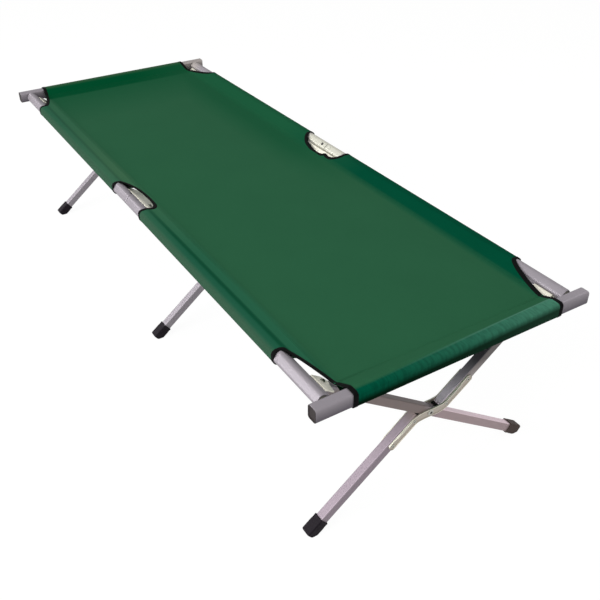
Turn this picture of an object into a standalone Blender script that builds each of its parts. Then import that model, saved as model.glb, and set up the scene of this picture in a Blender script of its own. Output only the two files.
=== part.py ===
"""Folding camping cot: two side frames that cross like scissors, end bars and a fabric bed.

Metres, +Z up. X runs across the cot, Y along it with the foot end at -Y.
The origin is on the floor below the middle of the bed.
"""
import math

import bmesh
import bpy
from mathutils import Matrix, Vector

for old in list(bpy.data.objects):
    bpy.data.objects.remove(old, do_unlink=True)

# overall sizes
cot_length = 1.900
rail_spacing = 0.620
rail_height = 0.430
crossing_height = 0.214
end_leg_inset = 0.058
centre_leg_y = -0.033

# running clearance between pieces that touch
gap = 0.0003

# rails
rail_side = 0.028
rail_wall = 0.0016
rail_corner = 0.009
rail_end_gap = 0.004

# end bars
bar_overhang = 0.021
bar_height = 0.032
bar_depth = 0.026
bar_wall = 0.0016
bar_corner = 0.006
bar_plug_length = 0.012
bar_plug_lip = 0.0006

# tongues that hold the end bars on the rails
tongue_width = 0.010
tongue_height = 0.016
tongue_depth = 0.010
tongue_plug_length = 0.025
tongue_relief = 1.15
slot_clearance = 0.0006
slot_cut_depth = 0.006

# motion that the tongues must clear
fold_angle = math.radians(51.0)
bar_travel = 0.400

# legs
leg_side = 0.022
leg_wall = 0.0015
leg_corner = 0.003
leg_top_clearance = 0.003
nest_gap = 0.001
split_gap = 0.0235

# rubber feet
cap_wall = 0.0025
cap_cover = 0.030
cap_floor = 0.004
cap_drop = 0.010
cap_corner = 0.004
cap_chamfer = 0.003

# leg brackets on the rails
bracket_sheet = 0.002
bracket_length = 0.058
bracket_reach = 0.050
bracket_skirt = 0.007
bracket_fillet = 0.018
leg_play = 0.0005
leg_pin_reach = 0.037
web_rivet_inset = 0.011

# long centre bracket, past the leg towards foot and head
centre_foot_arm = 0.052
centre_head_arm = 0.100

# link inside the rail joint
link_length = 0.064
link_height = 0.016
link_corner = 0.002
link_pin_y = 0.019

# crossing plates
plate_sheet = 0.002
plate_half_width = 0.0092
plate_boss_half_width = 0.0135
plate_foot_arm = 0.118
plate_rail_arm = 0.118
plate_bend = 0.040
plate_boss_reach = 0.018
plate_end_half_width = 0.001
plate_slope_step = 0.001
plate_rim_width = 0.0012
plate_rim_height = 0.0010
plate_lip_height = 0.0050
plate_lip_start = 0.034
plate_lip_end = 0.092
plate_lip_grow = 0.012
plate_lip_fade = 0.006
plate_rivet_end = 0.010
plate_rivet_split = 0.014

# rivets and pins
rivet_radius = 0.0022
rivet_head_radius = 0.0042
rivet_head_height = 0.0018
leg_pin_radius = 0.0030
leg_pin_head_radius = 0.0058
leg_pin_head_height = 0.0022
cross_pin_radius = 0.0040
cross_pin_head_radius = 0.0080
cross_pin_head_height = 0.0030
rivet_crown = 0.6
rivet_sides = 8
pivot_sides = 16
head_seat = 0.0002

# fabric
cloth = 0.0012
cloth_clearance = 0.0004
seam_slope = math.radians(23.0)
wrap_over = math.radians(6.0)
wrap_steps = 3
tape_width = 0.007
tape_rise = 0.0004
corner_cut_length = 0.150
corner_cut_width = 0.046
middle_cut_half_length = 0.100
middle_cut_depth = 0.040
middle_cut_roundness = 0.7
corner_cut_rail_pull = 0.014
corner_cut_bar_pull = 0.050
cut_edge_steps = 24

# worked out from the sizes above
rail_half = rail_side / 2
rail_x = rail_spacing / 2
leg_half = leg_side / 2
rail_rise = rail_height - crossing_height
pivot_reach = math.hypot(rail_x, rail_rise)
nest_offset = leg_side + nest_gap
whole_leg_slope = math.atan2(rail_rise, rail_x)
split_leg_slope = whole_leg_slope + math.asin(nest_offset / pivot_reach)
split_leg_reach = math.sqrt(pivot_reach**2 - nest_offset**2)
rail_end_y = cot_length / 2 - bar_depth - rail_end_gap
end_leg_y = rail_end_y - end_leg_inset
sleeve_end_y = rail_end_y - corner_cut_length
pocket_half_length = rail_x - corner_cut_width
bar_length = rail_spacing + rail_side + 2 * bar_overhang
bar_y = cot_length / 2 - bar_depth / 2
cap_half = leg_half + gap + cap_wall
rail_top = (rail_half - rail_corner) * (
    math.sin(whole_leg_slope) + math.cos(whole_leg_slope)
) + rail_corner
bar_z = rail_height + rail_top - bar_height / 2
sleeve_radius = (rail_half - rail_corner) * math.sqrt(2) + rail_corner
sleeve_radius += cloth_clearance + cloth + gap
pocket_radius = bar_corner + cloth_clearance
pocket_lift = bar_height / 2 - bar_corner
pocket_inset = bar_depth / 2 - bar_corner
pivot = Vector((0, 0, crossing_height))
along_y = Vector((0, 1, 0))
along_x = Vector((1, 0, 0))
along_z = Vector((0, 0, 1))
leg_stations = {"foot": -end_leg_y, "centre": centre_leg_y, "head": end_leg_y}


# side frames: where each rail lies and how its legs slope
class Side:
    def __init__(self, name, sign, slope):
        self.name = name
        self.sign = sign
        self.rail = Vector((sign * rail_x, 0, rail_height))
        self.down = Vector((-sign * math.cos(slope), 0, -math.sin(slope)))
        self.up = Vector((-sign * math.sin(slope), 0, math.cos(slope)))
        self.slope = slope

    def point(self, along, across, y):
        """A point measured from the rail's middle, down the leg and across it."""
        return self.rail + along * self.down + across * self.up + y * along_y


left = Side("left", -1, whole_leg_slope)
right = Side("right", 1, split_leg_slope)


# materials
def material(name, colour, roughness, metallic):
    made = bpy.data.materials.new(name)
    made.use_nodes = True
    shader = made.node_tree.nodes["Principled BSDF"]
    shader.inputs["Base Color"].default_value = (*colour, 1)
    shader.inputs["Roughness"].default_value = roughness
    shader.inputs["Metallic"].default_value = metallic
    made.diffuse_color = (*colour, 1)
    return made


aluminium = material("satin_aluminium", (0.42, 0.40, 0.43), 0.38, 1.0)
steel = material("zinc_plated_steel", (0.58, 0.57, 0.48), 0.34, 1.0)
rivet_steel = material("rivet_steel", (0.50, 0.50, 0.49), 0.30, 1.0)
rubber = material("black_rubber", (0.012, 0.011, 0.012), 0.62, 0.0)
plastic = material("dark_grey_plastic", (0.035, 0.030, 0.032), 0.50, 0.0)
green_cloth = material("green_polyester", (0.024, 0.105, 0.048), 0.82, 0.0)
black_tape = material("black_binding_tape", (0.005, 0.005, 0.006), 0.88, 0.0)


# shapes
def rounded(half_u, half_v, radius, steps=3):
    """Corner points of a rounded rectangle, in order round it."""
    points = []
    for turn, (side_u, side_v) in enumerate([(1, 1), (-1, 1), (-1, -1), (1, -1)]):
        for step in range(steps + 1):
            angle = math.pi / 2 * (turn + step / steps)
            u = side_u * (half_u - radius) + radius * math.cos(angle)
            v = side_v * (half_v - radius) + radius * math.sin(angle)
            points.append((u, v))
    return points


def placed(points, origin, u_way, v_way):
    return [origin + u * u_way + v * v_way for u, v in points]


def loft(shape, rings):
    """Closed solid through rings of equal point counts."""
    rows = [[shape.verts.new(p) for p in ring] for ring in rings]
    count = len(rows[0])
    for low, high in zip(rows, rows[1:]):
        for k in range(count):
            n = (k + 1) % count
            shape.faces.new((low[k], low[n], high[n], high[k]))
    shape.faces.new(list(reversed(rows[0])))
    shape.faces.new(rows[-1])


def loop_loft(shape, rings):
    """Closed solid whose last ring joins its first, as a ring or a tube wall does."""
    rows = [[shape.verts.new(p) for p in ring] for ring in rings]
    count = len(rows[0])
    for low, high in zip(rows, rows[1:] + rows[:1]):
        for k in range(count):
            n = (k + 1) % count
            shape.faces.new((low[k], low[n], high[n], high[k]))


def tube(shape, start, end, u_way, v_way, outer, inner):
    """Open-ended tube between two points, from an outer and an inner outline."""
    loop_loft(
        shape,
        [
            placed(outer, start, u_way, v_way),
            placed(outer, end, u_way, v_way),
            placed(inner, end, u_way, v_way),
            placed(inner, start, u_way, v_way),
        ],
    )


def lathe(shape, origin, way, profile, sides=rivet_sides):
    """Solid turned about an axis from (distance along, radius) pairs."""
    way = way.normalized()
    across = way.orthogonal().normalized()
    other = way.cross(across)
    rings = []
    for along, radius in profile:
        ring = []
        for k in range(sides):
            angle = 2 * math.pi * k / sides
            spoke = math.cos(angle) * across + math.sin(angle) * other
            ring.append(origin + along * way + radius * spoke)
        rings.append(ring)
    loft(shape, rings)


def rivet(shape, start, end, radius, head_radius, head_height, sides=rivet_sides):
    """Two-headed rivet that grips from start to end."""
    grip = (end - start).length
    crown = head_radius * rivet_crown
    profile = [
        (-head_height, crown),
        (0, head_radius),
        (0, radius),
        (grip, radius),
        (grip, head_radius),
        (grip + head_height, crown),
    ]
    lathe(shape, start, end - start, profile, sides)


def small_rivet(shape, start, end):
    rivet(shape, start, end, rivet_radius, rivet_head_radius, rivet_head_height)


def bore(shape, start, end, radius, sides=rivet_sides):
    profile = [(0, radius), ((end - start).length, radius)]
    lathe(shape, start, end - start, profile, sides)


def block(shape, low, high):
    """Box between two corners, each a distance along three ways from an origin."""
    centre = (Vector(low) + Vector(high)) / 2
    size = Vector(high) - Vector(low)
    matrix = Matrix.Translation(centre) @ Matrix.Diagonal((*size, 1))
    bmesh.ops.create_cube(shape, size=1, matrix=matrix)


# objects
def axis(name, place):
    empty = bpy.data.objects.new(name, None)
    empty.location = place
    bpy.context.scene.collection.objects.link(empty)
    return empty


def part(name, shape, look, carrier):
    """Make an object from a world-space shape, with its origin on its carrier's axis."""
    bmesh.ops.recalc_face_normals(shape, faces=shape.faces)
    bmesh.ops.translate(shape, verts=shape.verts, vec=-carrier.location)
    mesh = bpy.data.meshes.new(name)
    shape.to_mesh(mesh)
    shape.free()
    mesh.materials.append(look)
    made = bpy.data.objects.new(name, mesh)
    made.parent = carrier
    bpy.context.scene.collection.objects.link(made)
    return made


def cut(target, shape, operation="DIFFERENCE"):
    """Cut, keep or add the shape on the target with an exact boolean."""
    name = target.name + "_" + operation.lower()
    tool = part(name, shape, target.data.materials[0], target.parent)
    tool.hide_render = True
    tool.display_type = "WIRE"
    change = target.modifiers.new(operation.title(), "BOOLEAN")
    change.operation = operation
    change.solver = "EXACT"
    change.object = tool


bed_axis = axis("bed_origin", Vector((0, 0, 0)))
left_axis = axis("left_frame_axis", pivot)
right_axis = axis("right_frame_axis", pivot)
foot_bar_axis = axis("foot_bar_axis", Vector((0, -bar_y, bar_z)))
head_bar_axis = axis("head_bar_axis", Vector((0, bar_y, bar_z)))


# rails
def rail_outline(extra):
    half = rail_half + extra
    return rounded(half, half, rail_corner + extra, 4)


def rail_half_tube(side, carrier, end_name, end_sign):
    shape = bmesh.new()
    inner_y = end_sign * gap
    outer_y = end_sign * rail_end_y
    start = side.point(0, 0, inner_y)
    end = side.point(0, 0, outer_y)
    outer = rail_outline(0)
    inner = rail_outline(-rail_wall)
    tube(shape, start, end, side.down, side.up, outer, inner)
    made = part(f"rail_{side.name}_{end_name}", shape, aluminium, carrier)
    holes = bmesh.new()
    for station, y in web_rivets():
        if y * end_sign > 0:
            start = side.point(rail_half - 2 * rail_wall, 0, y)
            end = side.point(rail_half + rail_wall, 0, y)
            bore(holes, start, end, rivet_radius + gap)
    reach = rail_half + rail_wall
    y = end_sign * link_pin_y
    bore(holes, side.point(0, -reach, y), side.point(0, reach, y), rivet_radius + gap)
    cut(made, holes)


def bracket_span(station):
    """Foot-side and head-side ends of a bracket along the rail."""
    y = leg_stations[station]
    if station == "centre":
        return y - centre_foot_arm, y + centre_head_arm
    return y - bracket_length / 2, y + bracket_length / 2


def web_rivets():
    """The rivets that hold each bracket's web to the rail."""
    found = []
    for station in leg_stations:
        low, high = bracket_span(station)
        found.append((station, low + web_rivet_inset))
        found.append((station, high - web_rivet_inset))
    return found


# tongues fixed in the rail ends
def rail_tongue(side, carrier, end_name, end_sign):
    plug = rail_outline(-rail_wall - gap)
    inside = side.point(0, 0, end_sign * (rail_end_y - tongue_plug_length))
    mouth = side.point(0, 0, end_sign * rail_end_y)
    shape = bmesh.new()
    rings = [placed(plug, place, side.down, side.up) for place in (inside, mouth)]
    loft(shape, rings)
    made = part(f"rail_tongue_{side.name}_{end_name}", shape, rivet_steel, carrier)

    w = tongue_width / 2
    h = tongue_height / 2
    turn = fold_angle / bar_travel * tongue_depth * tongue_relief
    lift = rail_x * turn
    draw = rail_rise * turn
    root = [(-w, -h), (w, -h), (w, h), (-w, h)]
    tip = [(-w, -h), (w - draw, -h), (w - draw, h - lift), (-w, h - lift)]
    inward = -side.sign * along_x
    wall_y = rail_end_y + rail_end_gap + bar_wall
    blade = bmesh.new()
    rings = []
    for outline, y in (
        (root, rail_end_y - tongue_plug_length / 2),
        (root, wall_y),
        (tip, wall_y + tongue_depth),
    ):
        origin = Vector((side.sign * rail_x, end_sign * y, bar_z))
        rings.append(placed(outline, origin, inward, along_z))
    loft(blade, rings)
    cut(made, blade, "UNION")


# pressed U brackets that carry the legs
bracket_inner = leg_half + leg_play
bracket_outer = bracket_inner + bracket_sheet
web_start = rail_half + gap
web_end = web_start + bracket_sheet


def smooth(x):
    x = min(max(x, 0), 1)
    return x * x * (3 - 2 * x)


def bracket_outline(low, high, nose_y):
    """Flange outline as (along the leg, along Y) with a rounded nose round the leg pin."""
    nose_radius = bracket_reach - leg_pin_reach
    curve = []
    steps = 6
    start = web_start + bracket_skirt
    for k in range(steps + 1):
        share = k / steps
        along = start + (leg_pin_reach - start) * share
        curve.append((along, smooth(share * (leg_pin_reach - start) / bracket_fillet)))
    outline = [(0, low)]
    for along, share in curve:
        outline.append((along, low + (nose_y - nose_radius - low) * share))
    for k in range(1, steps):
        angle = math.pi * k / steps
        along = leg_pin_reach + nose_radius * math.sin(angle)
        outline.append((along, nose_y - nose_radius * math.cos(angle)))
    for along, share in reversed(curve):
        outline.append((along, high - (high - nose_y - nose_radius) * share))
    outline.append((0, high))
    return outline


def leg_bracket(side, carrier, station):
    low, high = bracket_span(station)
    nose_y = leg_stations[station]
    a, b = bracket_inner, bracket_outer
    u_section = [
        (web_start, -b),
        (bracket_reach + gap, -b),
        (bracket_reach + gap, -a),
        (web_end, -a),
        (web_end, a),
        (bracket_reach + gap, a),
        (bracket_reach + gap, b),
        (web_start, b),
    ]
    shape = bmesh.new()
    margin = bracket_sheet
    rings = [
        placed(u_section, side.point(0, 0, y), side.down, side.up)
        for y in (low - margin, high + margin)
    ]
    loft(shape, rings)
    made = part(f"leg_bracket_{side.name}_{station}", shape, steel, carrier)
    keep = bmesh.new()
    outline = bracket_outline(low, high, nose_y)
    rings = []
    for across in (-b - margin, b + margin):
        rings.append([side.point(along, across, y) for along, y in outline])
    loft(keep, rings)
    cut(made, keep, "INTERSECT")
    holes = bmesh.new()
    start = side.point(leg_pin_reach, -b - margin, nose_y)
    end = side.point(leg_pin_reach, b + margin, nose_y)
    bore(holes, start, end, leg_pin_radius + gap)
    cut(made, holes)
    rivets = bmesh.new()
    for where, y in web_rivets():
        if where == station:
            start = side.point(rail_half - rail_wall - gap, 0, y)
            end = side.point(web_end - head_seat, 0, y)
            small_rivet(rivets, start, end)
    cut(made, rivets, "UNION")


def leg_pin(side, carrier, station):
    y = leg_stations[station]
    reach = bracket_outer + gap
    start = side.point(leg_pin_reach, -reach, y)
    end = side.point(leg_pin_reach, reach, y)
    shape = bmesh.new()
    rivet(shape, start, end, leg_pin_radius, leg_pin_head_radius, leg_pin_head_height)
    part(f"leg_pin_{side.name}_{station}", shape, rivet_steel, carrier)


def rail_link(side, carrier):
    """Bar inside the rail that joins its two halves, with the two pins that hold it."""
    shape = bmesh.new()
    half = rail_half - rail_wall - gap
    outline = rounded(link_height / 2, half, link_corner, 2)
    rings = [
        placed(outline, side.point(0, 0, y), side.down, side.up)
        for y in (-link_length / 2, link_length / 2)
    ]
    loft(shape, rings)
    made = part(f"rail_link_{side.name}", shape, rivet_steel, carrier)
    pins = bmesh.new()
    reach = rail_half + gap
    for sign in (-1, 1):
        y = sign * link_pin_y
        small_rivet(pins, side.point(0, -reach, y), side.point(0, reach, y))
    cut(made, pins, "UNION")


# legs
leg_start = web_end + leg_top_clearance
leg_outer = rounded(leg_half, leg_half, leg_corner)
leg_inner = rounded(leg_half - leg_wall, leg_half - leg_wall, leg_corner - leg_wall)


def leg_end(side, start_height):
    """Distance down a leg's middle line from a height to its end above the floor."""
    rest = start_height - leg_half * math.cos(side.slope) - cap_floor
    return rest / math.sin(side.slope)


def leg_tube(name, side, carrier, y, start, end, across):
    shape = bmesh.new()
    a = side.point(start, across, y)
    b = side.point(end, across, y)
    tube(shape, a, b, side.up, along_y, leg_outer, leg_inner)
    return part(name, shape, aluminium, carrier)


def leg_pin_bore(holes, side, y):
    reach = leg_side
    start = side.point(leg_pin_reach, -reach, y)
    end = side.point(leg_pin_reach, reach, y)
    bore(holes, start, end, leg_pin_radius + gap)


def whole_leg(station):
    y = leg_stations[station]
    foot = leg_end(left, rail_height)
    made = leg_tube(f"leg_whole_{station}", left, left_axis, y, leg_start, foot, 0)
    holes = bmesh.new()
    leg_pin_bore(holes, left, y)
    reach = leg_side
    start = left.point(pivot_reach, 0, y - reach)
    end = start + 2 * reach * along_y
    bore(holes, start, end, cross_pin_radius + gap, pivot_sides)
    cut(made, holes)
    foot_cap("whole", left, left_axis, station, foot, 0)


# places along a split leg, measured down from its rail
rail_side_end = split_leg_reach - split_gap
foot_side_start = split_leg_reach + split_gap
foot_side_shift = 2 * nest_offset


def split_plate_rivets():
    """Plate rivets as (distance down the leg, shift across it)."""
    return [
        (split_leg_reach - plate_rail_arm + plate_rivet_end, 0),
        (rail_side_end - plate_rivet_split, 0),
        (foot_side_start + plate_rivet_split, foot_side_shift),
        (split_leg_reach + plate_foot_arm - plate_rivet_end, foot_side_shift),
    ]


def split_leg(station):
    y = leg_stations[station]
    upper = leg_tube(
        f"leg_upper_{station}", right, right_axis, y, leg_start, rail_side_end, 0
    )
    drop = rail_height + foot_side_shift * math.cos(right.slope)
    end = leg_end(right, drop)
    lower = leg_tube(
        f"leg_lower_{station}",
        right,
        right_axis,
        y,
        foot_side_start,
        end,
        foot_side_shift,
    )
    reach = leg_side
    upper_holes = bmesh.new()
    lower_holes = bmesh.new()
    leg_pin_bore(upper_holes, right, y)
    for along, across in split_plate_rivets():
        holes = lower_holes if across else upper_holes
        start = right.point(along, across, y - reach)
        bore(holes, start, start + 2 * reach * along_y, rivet_radius + gap)
    cut(upper, upper_holes)
    cut(lower, lower_holes)
    foot_cap("split", right, right_axis, station, end, foot_side_shift)


# rubber feet, cut level with the floor
def foot_cap(name, side, carrier, station, end, across):
    y = leg_stations[station]
    start_height = rail_height + across * math.cos(side.slope)
    tip = start_height + cap_drop - cap_half * math.cos(side.slope)
    tip /= math.sin(side.slope)
    outline = rounded(cap_half, cap_half, cap_corner)
    small = cap_half - cap_chamfer
    tip_outline = rounded(small, small, cap_corner)
    shape = bmesh.new()
    rings = [
        placed(outline, side.point(end - cap_cover, across, y), side.up, along_y),
        placed(outline, side.point(tip - cap_chamfer, across, y), side.up, along_y),
        placed(tip_outline, side.point(tip, across, y), side.up, along_y),
    ]
    loft(shape, rings)
    made = part(f"foot_cap_{name}_{station}", shape, rubber, carrier)
    holes = bmesh.new()
    fit = rounded(leg_half + gap, leg_half + gap, leg_corner + gap)
    rings = []
    for along in (end - 2 * cap_cover, end + gap):
        rings.append(placed(fit, side.point(along, across, y), side.up, along_y))
    loft(holes, rings)
    middle = side.point(tip, across, y)
    room = 2 * leg_side
    low = (middle.x - room, y - room, -room)
    block(holes, low, (middle.x + room, y + room, 0))
    cut(made, holes)


# S-shaped plates that carry the split leg past the whole one
def plate_middle(s):
    """Shift across the leg of the plate's middle line, s measured from the crossing."""
    share = smooth((s + plate_bend) / (2 * plate_bend))
    return nest_offset * (1 - 2 * share)


def plate_half(s):
    """Half the plate's width, full round the pin and rounded at both ends."""
    boss = plate_boss_half_width - plate_half_width
    half = plate_half_width + boss * math.exp(-((s / plate_boss_reach) ** 2))
    for end in (plate_rail_arm - s, plate_foot_arm + s):
        short = max(plate_half_width - end, 0)
        rounded_off = math.sqrt(max(plate_half_width**2 - short**2, 0))
        half = min(half, rounded_off + plate_end_half_width)
    return half


def plate_stations():
    """Places along the plate, closer together where it bends and where it ends."""
    full = plate_half_width
    steps = 3
    ends = [1 - math.cos(math.pi / 2 * k / steps) for k in range(steps + 1)]
    low = [-plate_foot_arm + full * k for k in ends]
    high = [plate_rail_arm - full * k for k in reversed(ends)]
    bend = [plate_bend * k / 4 for k in range(-4, 5)]
    lip = [plate_lip_end - plate_lip_fade, plate_lip_end]
    lip += [-s for s in lip]
    return sorted(low + bend + lip + high)


def lip_height(s):
    reach = abs(s)
    grow = smooth((reach - plate_lip_start) / plate_lip_grow)
    fade = smooth((plate_lip_end - reach) / plate_lip_fade)
    return plate_rim_height + (plate_lip_height - plate_rim_height) * grow * fade


def crossing_plates(station):
    shape = bmesh.new()
    for face in (-1, 1):
        rings = []
        for s in plate_stations():
            step = plate_slope_step
            rise = (plate_middle(s + step) - plate_middle(s - step)) / (2 * step)
            lean = math.hypot(1, rise)
            half = plate_half(s)
            rim = min(plate_rim_width, half / 3)
            tall = plate_sheet + lip_height(s)
            low = plate_sheet + plate_rim_height
            section = [
                (-half, 0),
                (half, 0),
                (half, tall),
                (half - rim, tall),
                (half - rim, plate_sheet),
                (rim - half, plate_sheet),
                (rim - half, low),
                (-half, low),
            ]
            ring = []
            for width, out in section:
                along = s - width * rise / lean
                across = plate_middle(s) + width / lean
                y = face * (leg_half + gap + out) + leg_stations[station]
                down = split_leg_reach - along
                ring.append(right.point(down, across + nest_offset, y))
            rings.append(ring)
        loft(shape, rings)
    made = part(f"crossing_plates_{station}", shape, steel, right_axis)
    y = leg_stations[station]
    reach = leg_side
    hole = bmesh.new()
    start = pivot + (y - reach) * along_y
    end = start + 2 * reach * along_y
    bore(hole, start, end, cross_pin_radius + gap, pivot_sides)
    cut(made, hole)
    rivets = bmesh.new()
    reach = leg_half + gap + plate_sheet - head_seat
    for along, across in split_plate_rivets():
        start = right.point(along, across, y - reach)
        small_rivet(rivets, start, start + 2 * reach * along_y)
    cut(made, rivets, "UNION")


def crossing_pin(station):
    reach = leg_half + plate_sheet + 2 * gap
    start = pivot + (leg_stations[station] - reach) * along_y
    shape = bmesh.new()
    rivet(
        shape,
        start,
        start + 2 * reach * along_y,
        cross_pin_radius,
        cross_pin_head_radius,
        cross_pin_head_height,
        pivot_sides,
    )
    part(f"crossing_pin_{station}", shape, rivet_steel, right_axis)


# end bars with a slot for each tongue and a plug in each end
def end_bar(name, end_sign, carrier):
    y = end_sign * bar_y
    outer = rounded(bar_depth / 2, bar_height / 2, bar_corner)
    shrink = bar_wall
    inner = rounded(
        bar_depth / 2 - shrink, bar_height / 2 - shrink, bar_corner - shrink
    )
    half = bar_length / 2
    middle = Vector((0, y, bar_z))
    shape = bmesh.new()
    start = middle - half * along_x
    end = middle + half * along_x
    tube(shape, start, end, along_y, along_z, outer, inner)
    made = part(f"end_bar_{name}", shape, aluminium, carrier)
    holes = bmesh.new()
    w = tongue_width / 2 + slot_clearance
    h = tongue_height / 2 + slot_clearance
    face = end_sign * (bar_y - bar_depth / 2)
    near = face - end_sign * bar_wall
    far = face + end_sign * (bar_wall + slot_cut_depth)
    for sign in (-1, 1):
        x = sign * rail_x
        low = (x - w, min(near, far), bar_z - h)
        block(holes, low, (x + w, max(near, far), bar_z + h))
    cut(made, holes)

    for side in (left, right):
        bar_plug(side, name, middle, carrier)


def bar_plug(side, name, middle, carrier):
    fit = bar_wall + gap
    radius = bar_corner - fit
    insert = rounded(bar_depth / 2 - fit, bar_height / 2 - fit, radius)
    face = rounded(bar_depth / 2 - 2 * fit, bar_height / 2 - 2 * fit, radius)
    half = bar_length / 2
    shape = bmesh.new()
    rings = []
    for outline, along in (
        (insert, half - bar_plug_length),
        (insert, half),
        (face, half + bar_plug_lip),
    ):
        origin = middle + side.sign * along * along_x
        rings.append(placed(outline, origin, along_y, along_z))
    loft(shape, rings)
    part(f"bar_plug_{name}_{side.name}", shape, plastic, carrier)


# fabric sleeves round the rails
def sleeve(side, carrier, end_name, end_sign):
    outer = rail_outline(cloth_clearance + cloth)
    inner = rail_outline(cloth_clearance)
    start = side.point(0, 0, end_sign * middle_cut_half_length)
    end = side.point(0, 0, end_sign * sleeve_end_y)
    shape = bmesh.new()
    tube(shape, start, end, side.down, side.up, outer, inner)
    part(f"sleeve_{side.name}_{end_name}", shape, green_cloth, carrier)


# cloth round a rail or bar, as (distance inward, height) from the middle of it
def wrap(radius, lift, inset, first=0.0):
    """Upper layer's bend, from above the rail or bar to where it leaves for its seam."""
    points = []
    for k in range(wrap_steps + 1):
        angle = first + (seam_slope - first) * k / wrap_steps
        inward = inset + radius * math.sin(angle)
        points.append((inward, lift + radius * math.cos(angle)))
    return points


def seam(radius, lift, inset, height=0.0):
    """Distance inward at which a layer comes down to a height."""
    level = radius + (lift - height) * math.cos(seam_slope)
    return inset + level / math.sin(seam_slope)


def layer_height(radius, lift, inset, inward):
    """Height of the upper layer at a distance inward."""
    reach = max(inward - inset, 0)
    if reach < radius * math.sin(seam_slope):
        return lift + math.sqrt(radius**2 - reach**2)
    return lift + (radius - reach * math.sin(seam_slope)) / math.cos(seam_slope)


def sheet_top(point):
    """Level of the fabric's upper side over a place in plan."""
    rail = layer_height(sleeve_radius + cloth, 0, 0, rail_x - abs(point.x))
    inward = bar_y - abs(point.y)
    bar = layer_height(pocket_radius + cloth, pocket_lift, pocket_inset, inward)
    return rail_height + max(rail, bar, cloth / 2)


# fabric pockets round the end bars, sewn to the bed sheet
def pocket_outline(radius):
    far = []
    for k in range(wrap_steps + 1):
        angle = math.pi / 2 * k / wrap_steps
        outward = pocket_inset + radius * math.cos(angle)
        far.append((-outward, pocket_lift + radius * math.sin(angle)))
    upper = far + wrap(radius, pocket_lift, pocket_inset)
    tip = (seam(radius, pocket_lift, pocket_inset), 0)
    return upper + [tip] + [(inward, -up) for inward, up in reversed(upper)]


def pocket(shape, end_sign):
    half = pocket_half_length - tape_width - gap
    middle = Vector((0, end_sign * bar_y, bar_z))
    start = middle - half * along_x
    end = middle + half * along_x
    outer = pocket_outline(pocket_radius + cloth)
    inner = pocket_outline(pocket_radius)
    tube(shape, start, end, -end_sign * along_y, along_z, outer, inner)


# outlines of the bed's cut edges, for the quarter at +X and +Y
def corner_edge():
    """Edge of a corner cut, from the rail to the end bar."""
    a = Vector((rail_x, sleeve_end_y))
    b = a - Vector((corner_cut_rail_pull, 0))
    d = Vector((pocket_half_length, bar_y))
    c = d - Vector((0, corner_cut_bar_pull))
    points = []
    for k in range(cut_edge_steps + 1):
        t = smooth(k / cut_edge_steps)
        u = 1 - t
        points.append(u**3 * a + 3 * u * u * t * b + 3 * u * t * t * c + t**3 * d)
    return points


def middle_edge():
    """Edge of a middle cut, from the foot end to the head end of it."""
    points = []
    for k in range(cut_edge_steps + 1):
        angle = math.pi * smooth(k / cut_edge_steps)
        x = rail_x - middle_cut_depth * math.sin(angle) ** middle_cut_roundness
        points.append(Vector((x, -middle_cut_half_length * math.cos(angle))))
    return points


def inset(points, distance):
    """Points moved sideways, to the left of the way that the list runs."""
    moved = []
    last = len(points) - 1
    for k, point in enumerate(points):
        way = (points[min(k + 1, last)] - points[max(k - 1, 0)]).normalized()
        if k == 0 or k == last:
            way = Vector((round(way.x), round(way.y)))
        moved.append(point + distance * Vector((-way.y, way.x)))
    return moved


def sheet_section():
    """Flat sheet that parts at each side into two layers round the sleeves."""
    outer = wrap(sleeve_radius + cloth, 0, 0, -wrap_over)
    outer.append((seam(sleeve_radius + cloth, 0, 0, cloth / 2), cloth / 2))
    inner = wrap(sleeve_radius, 0, 0, -wrap_over)
    tip = (seam(sleeve_radius, 0, 0), 0)
    side = [(inward, -up) for inward, up in reversed(outer)]
    side += [(inward, -up) for inward, up in inner]
    side += [tip] + list(reversed(inner)) + outer
    right_side = [(rail_x - inward, up) for inward, up in side]
    return right_side + [(-x, up) for x, up in reversed(right_side)]


def bed_sheet():
    inside = tape_width + gap
    corner = inset(corner_edge(), inside)
    middle = inset(middle_edge(), inside)
    half = list(reversed(corner)) + list(reversed(middle))
    half += [Vector((p.x, -p.y)) for p in corner]
    outline = half + [Vector((-p.x, p.y)) for p in reversed(half)]
    inner_seam = seam(pocket_radius, pocket_lift, pocket_inset)
    outer_seam = seam(pocket_radius + cloth, pocket_lift, pocket_inset)
    end_y = bar_y - (inner_seam + outer_seam) / 2
    section = sheet_section()
    shape = bmesh.new()
    rings = []
    for y in (-end_y, end_y):
        rings.append([Vector((x, y, rail_height + up)) for x, up in section])
    loft(shape, rings)
    made = part("bed_sheet", shape, green_cloth, bed_axis)
    keep = bmesh.new()
    rings = []
    for z in (rail_height - rail_side, rail_height + rail_side):
        rings.append([Vector((p.x, p.y, z)) for p in outline])
    loft(keep, rings)
    cut(made, keep, "INTERSECT")
    pockets = bmesh.new()
    pocket(pockets, -1)
    pocket(pockets, 1)
    cut(made, pockets, "UNION")


def binding(name, points, flip_x, flip_y):
    """Tape along a cut edge."""
    shape = bmesh.new()
    rings = []
    for edge, inner in zip(points, inset(points, tape_width)):
        ring = []
        for p, up in ((edge, -cloth), (inner, -cloth), (inner, tape_rise), (edge, tape_rise)):
            ring.append(Vector((flip_x * p.x, flip_y * p.y, sheet_top(p) + up)))
        rings.append(ring)
    loft(shape, rings)
    part(name, shape, black_tape, bed_axis)


for side, carrier in ((left, left_axis), (right, right_axis)):
    for end_name, end_sign in (("foot", -1), ("head", 1)):
        rail_half_tube(side, carrier, end_name, end_sign)
        rail_tongue(side, carrier, end_name, end_sign)
        sleeve(side, carrier, end_name, end_sign)
    rail_link(side, carrier)
    for station in leg_stations:
        leg_bracket(side, carrier, station)
        leg_pin(side, carrier, station)

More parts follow.
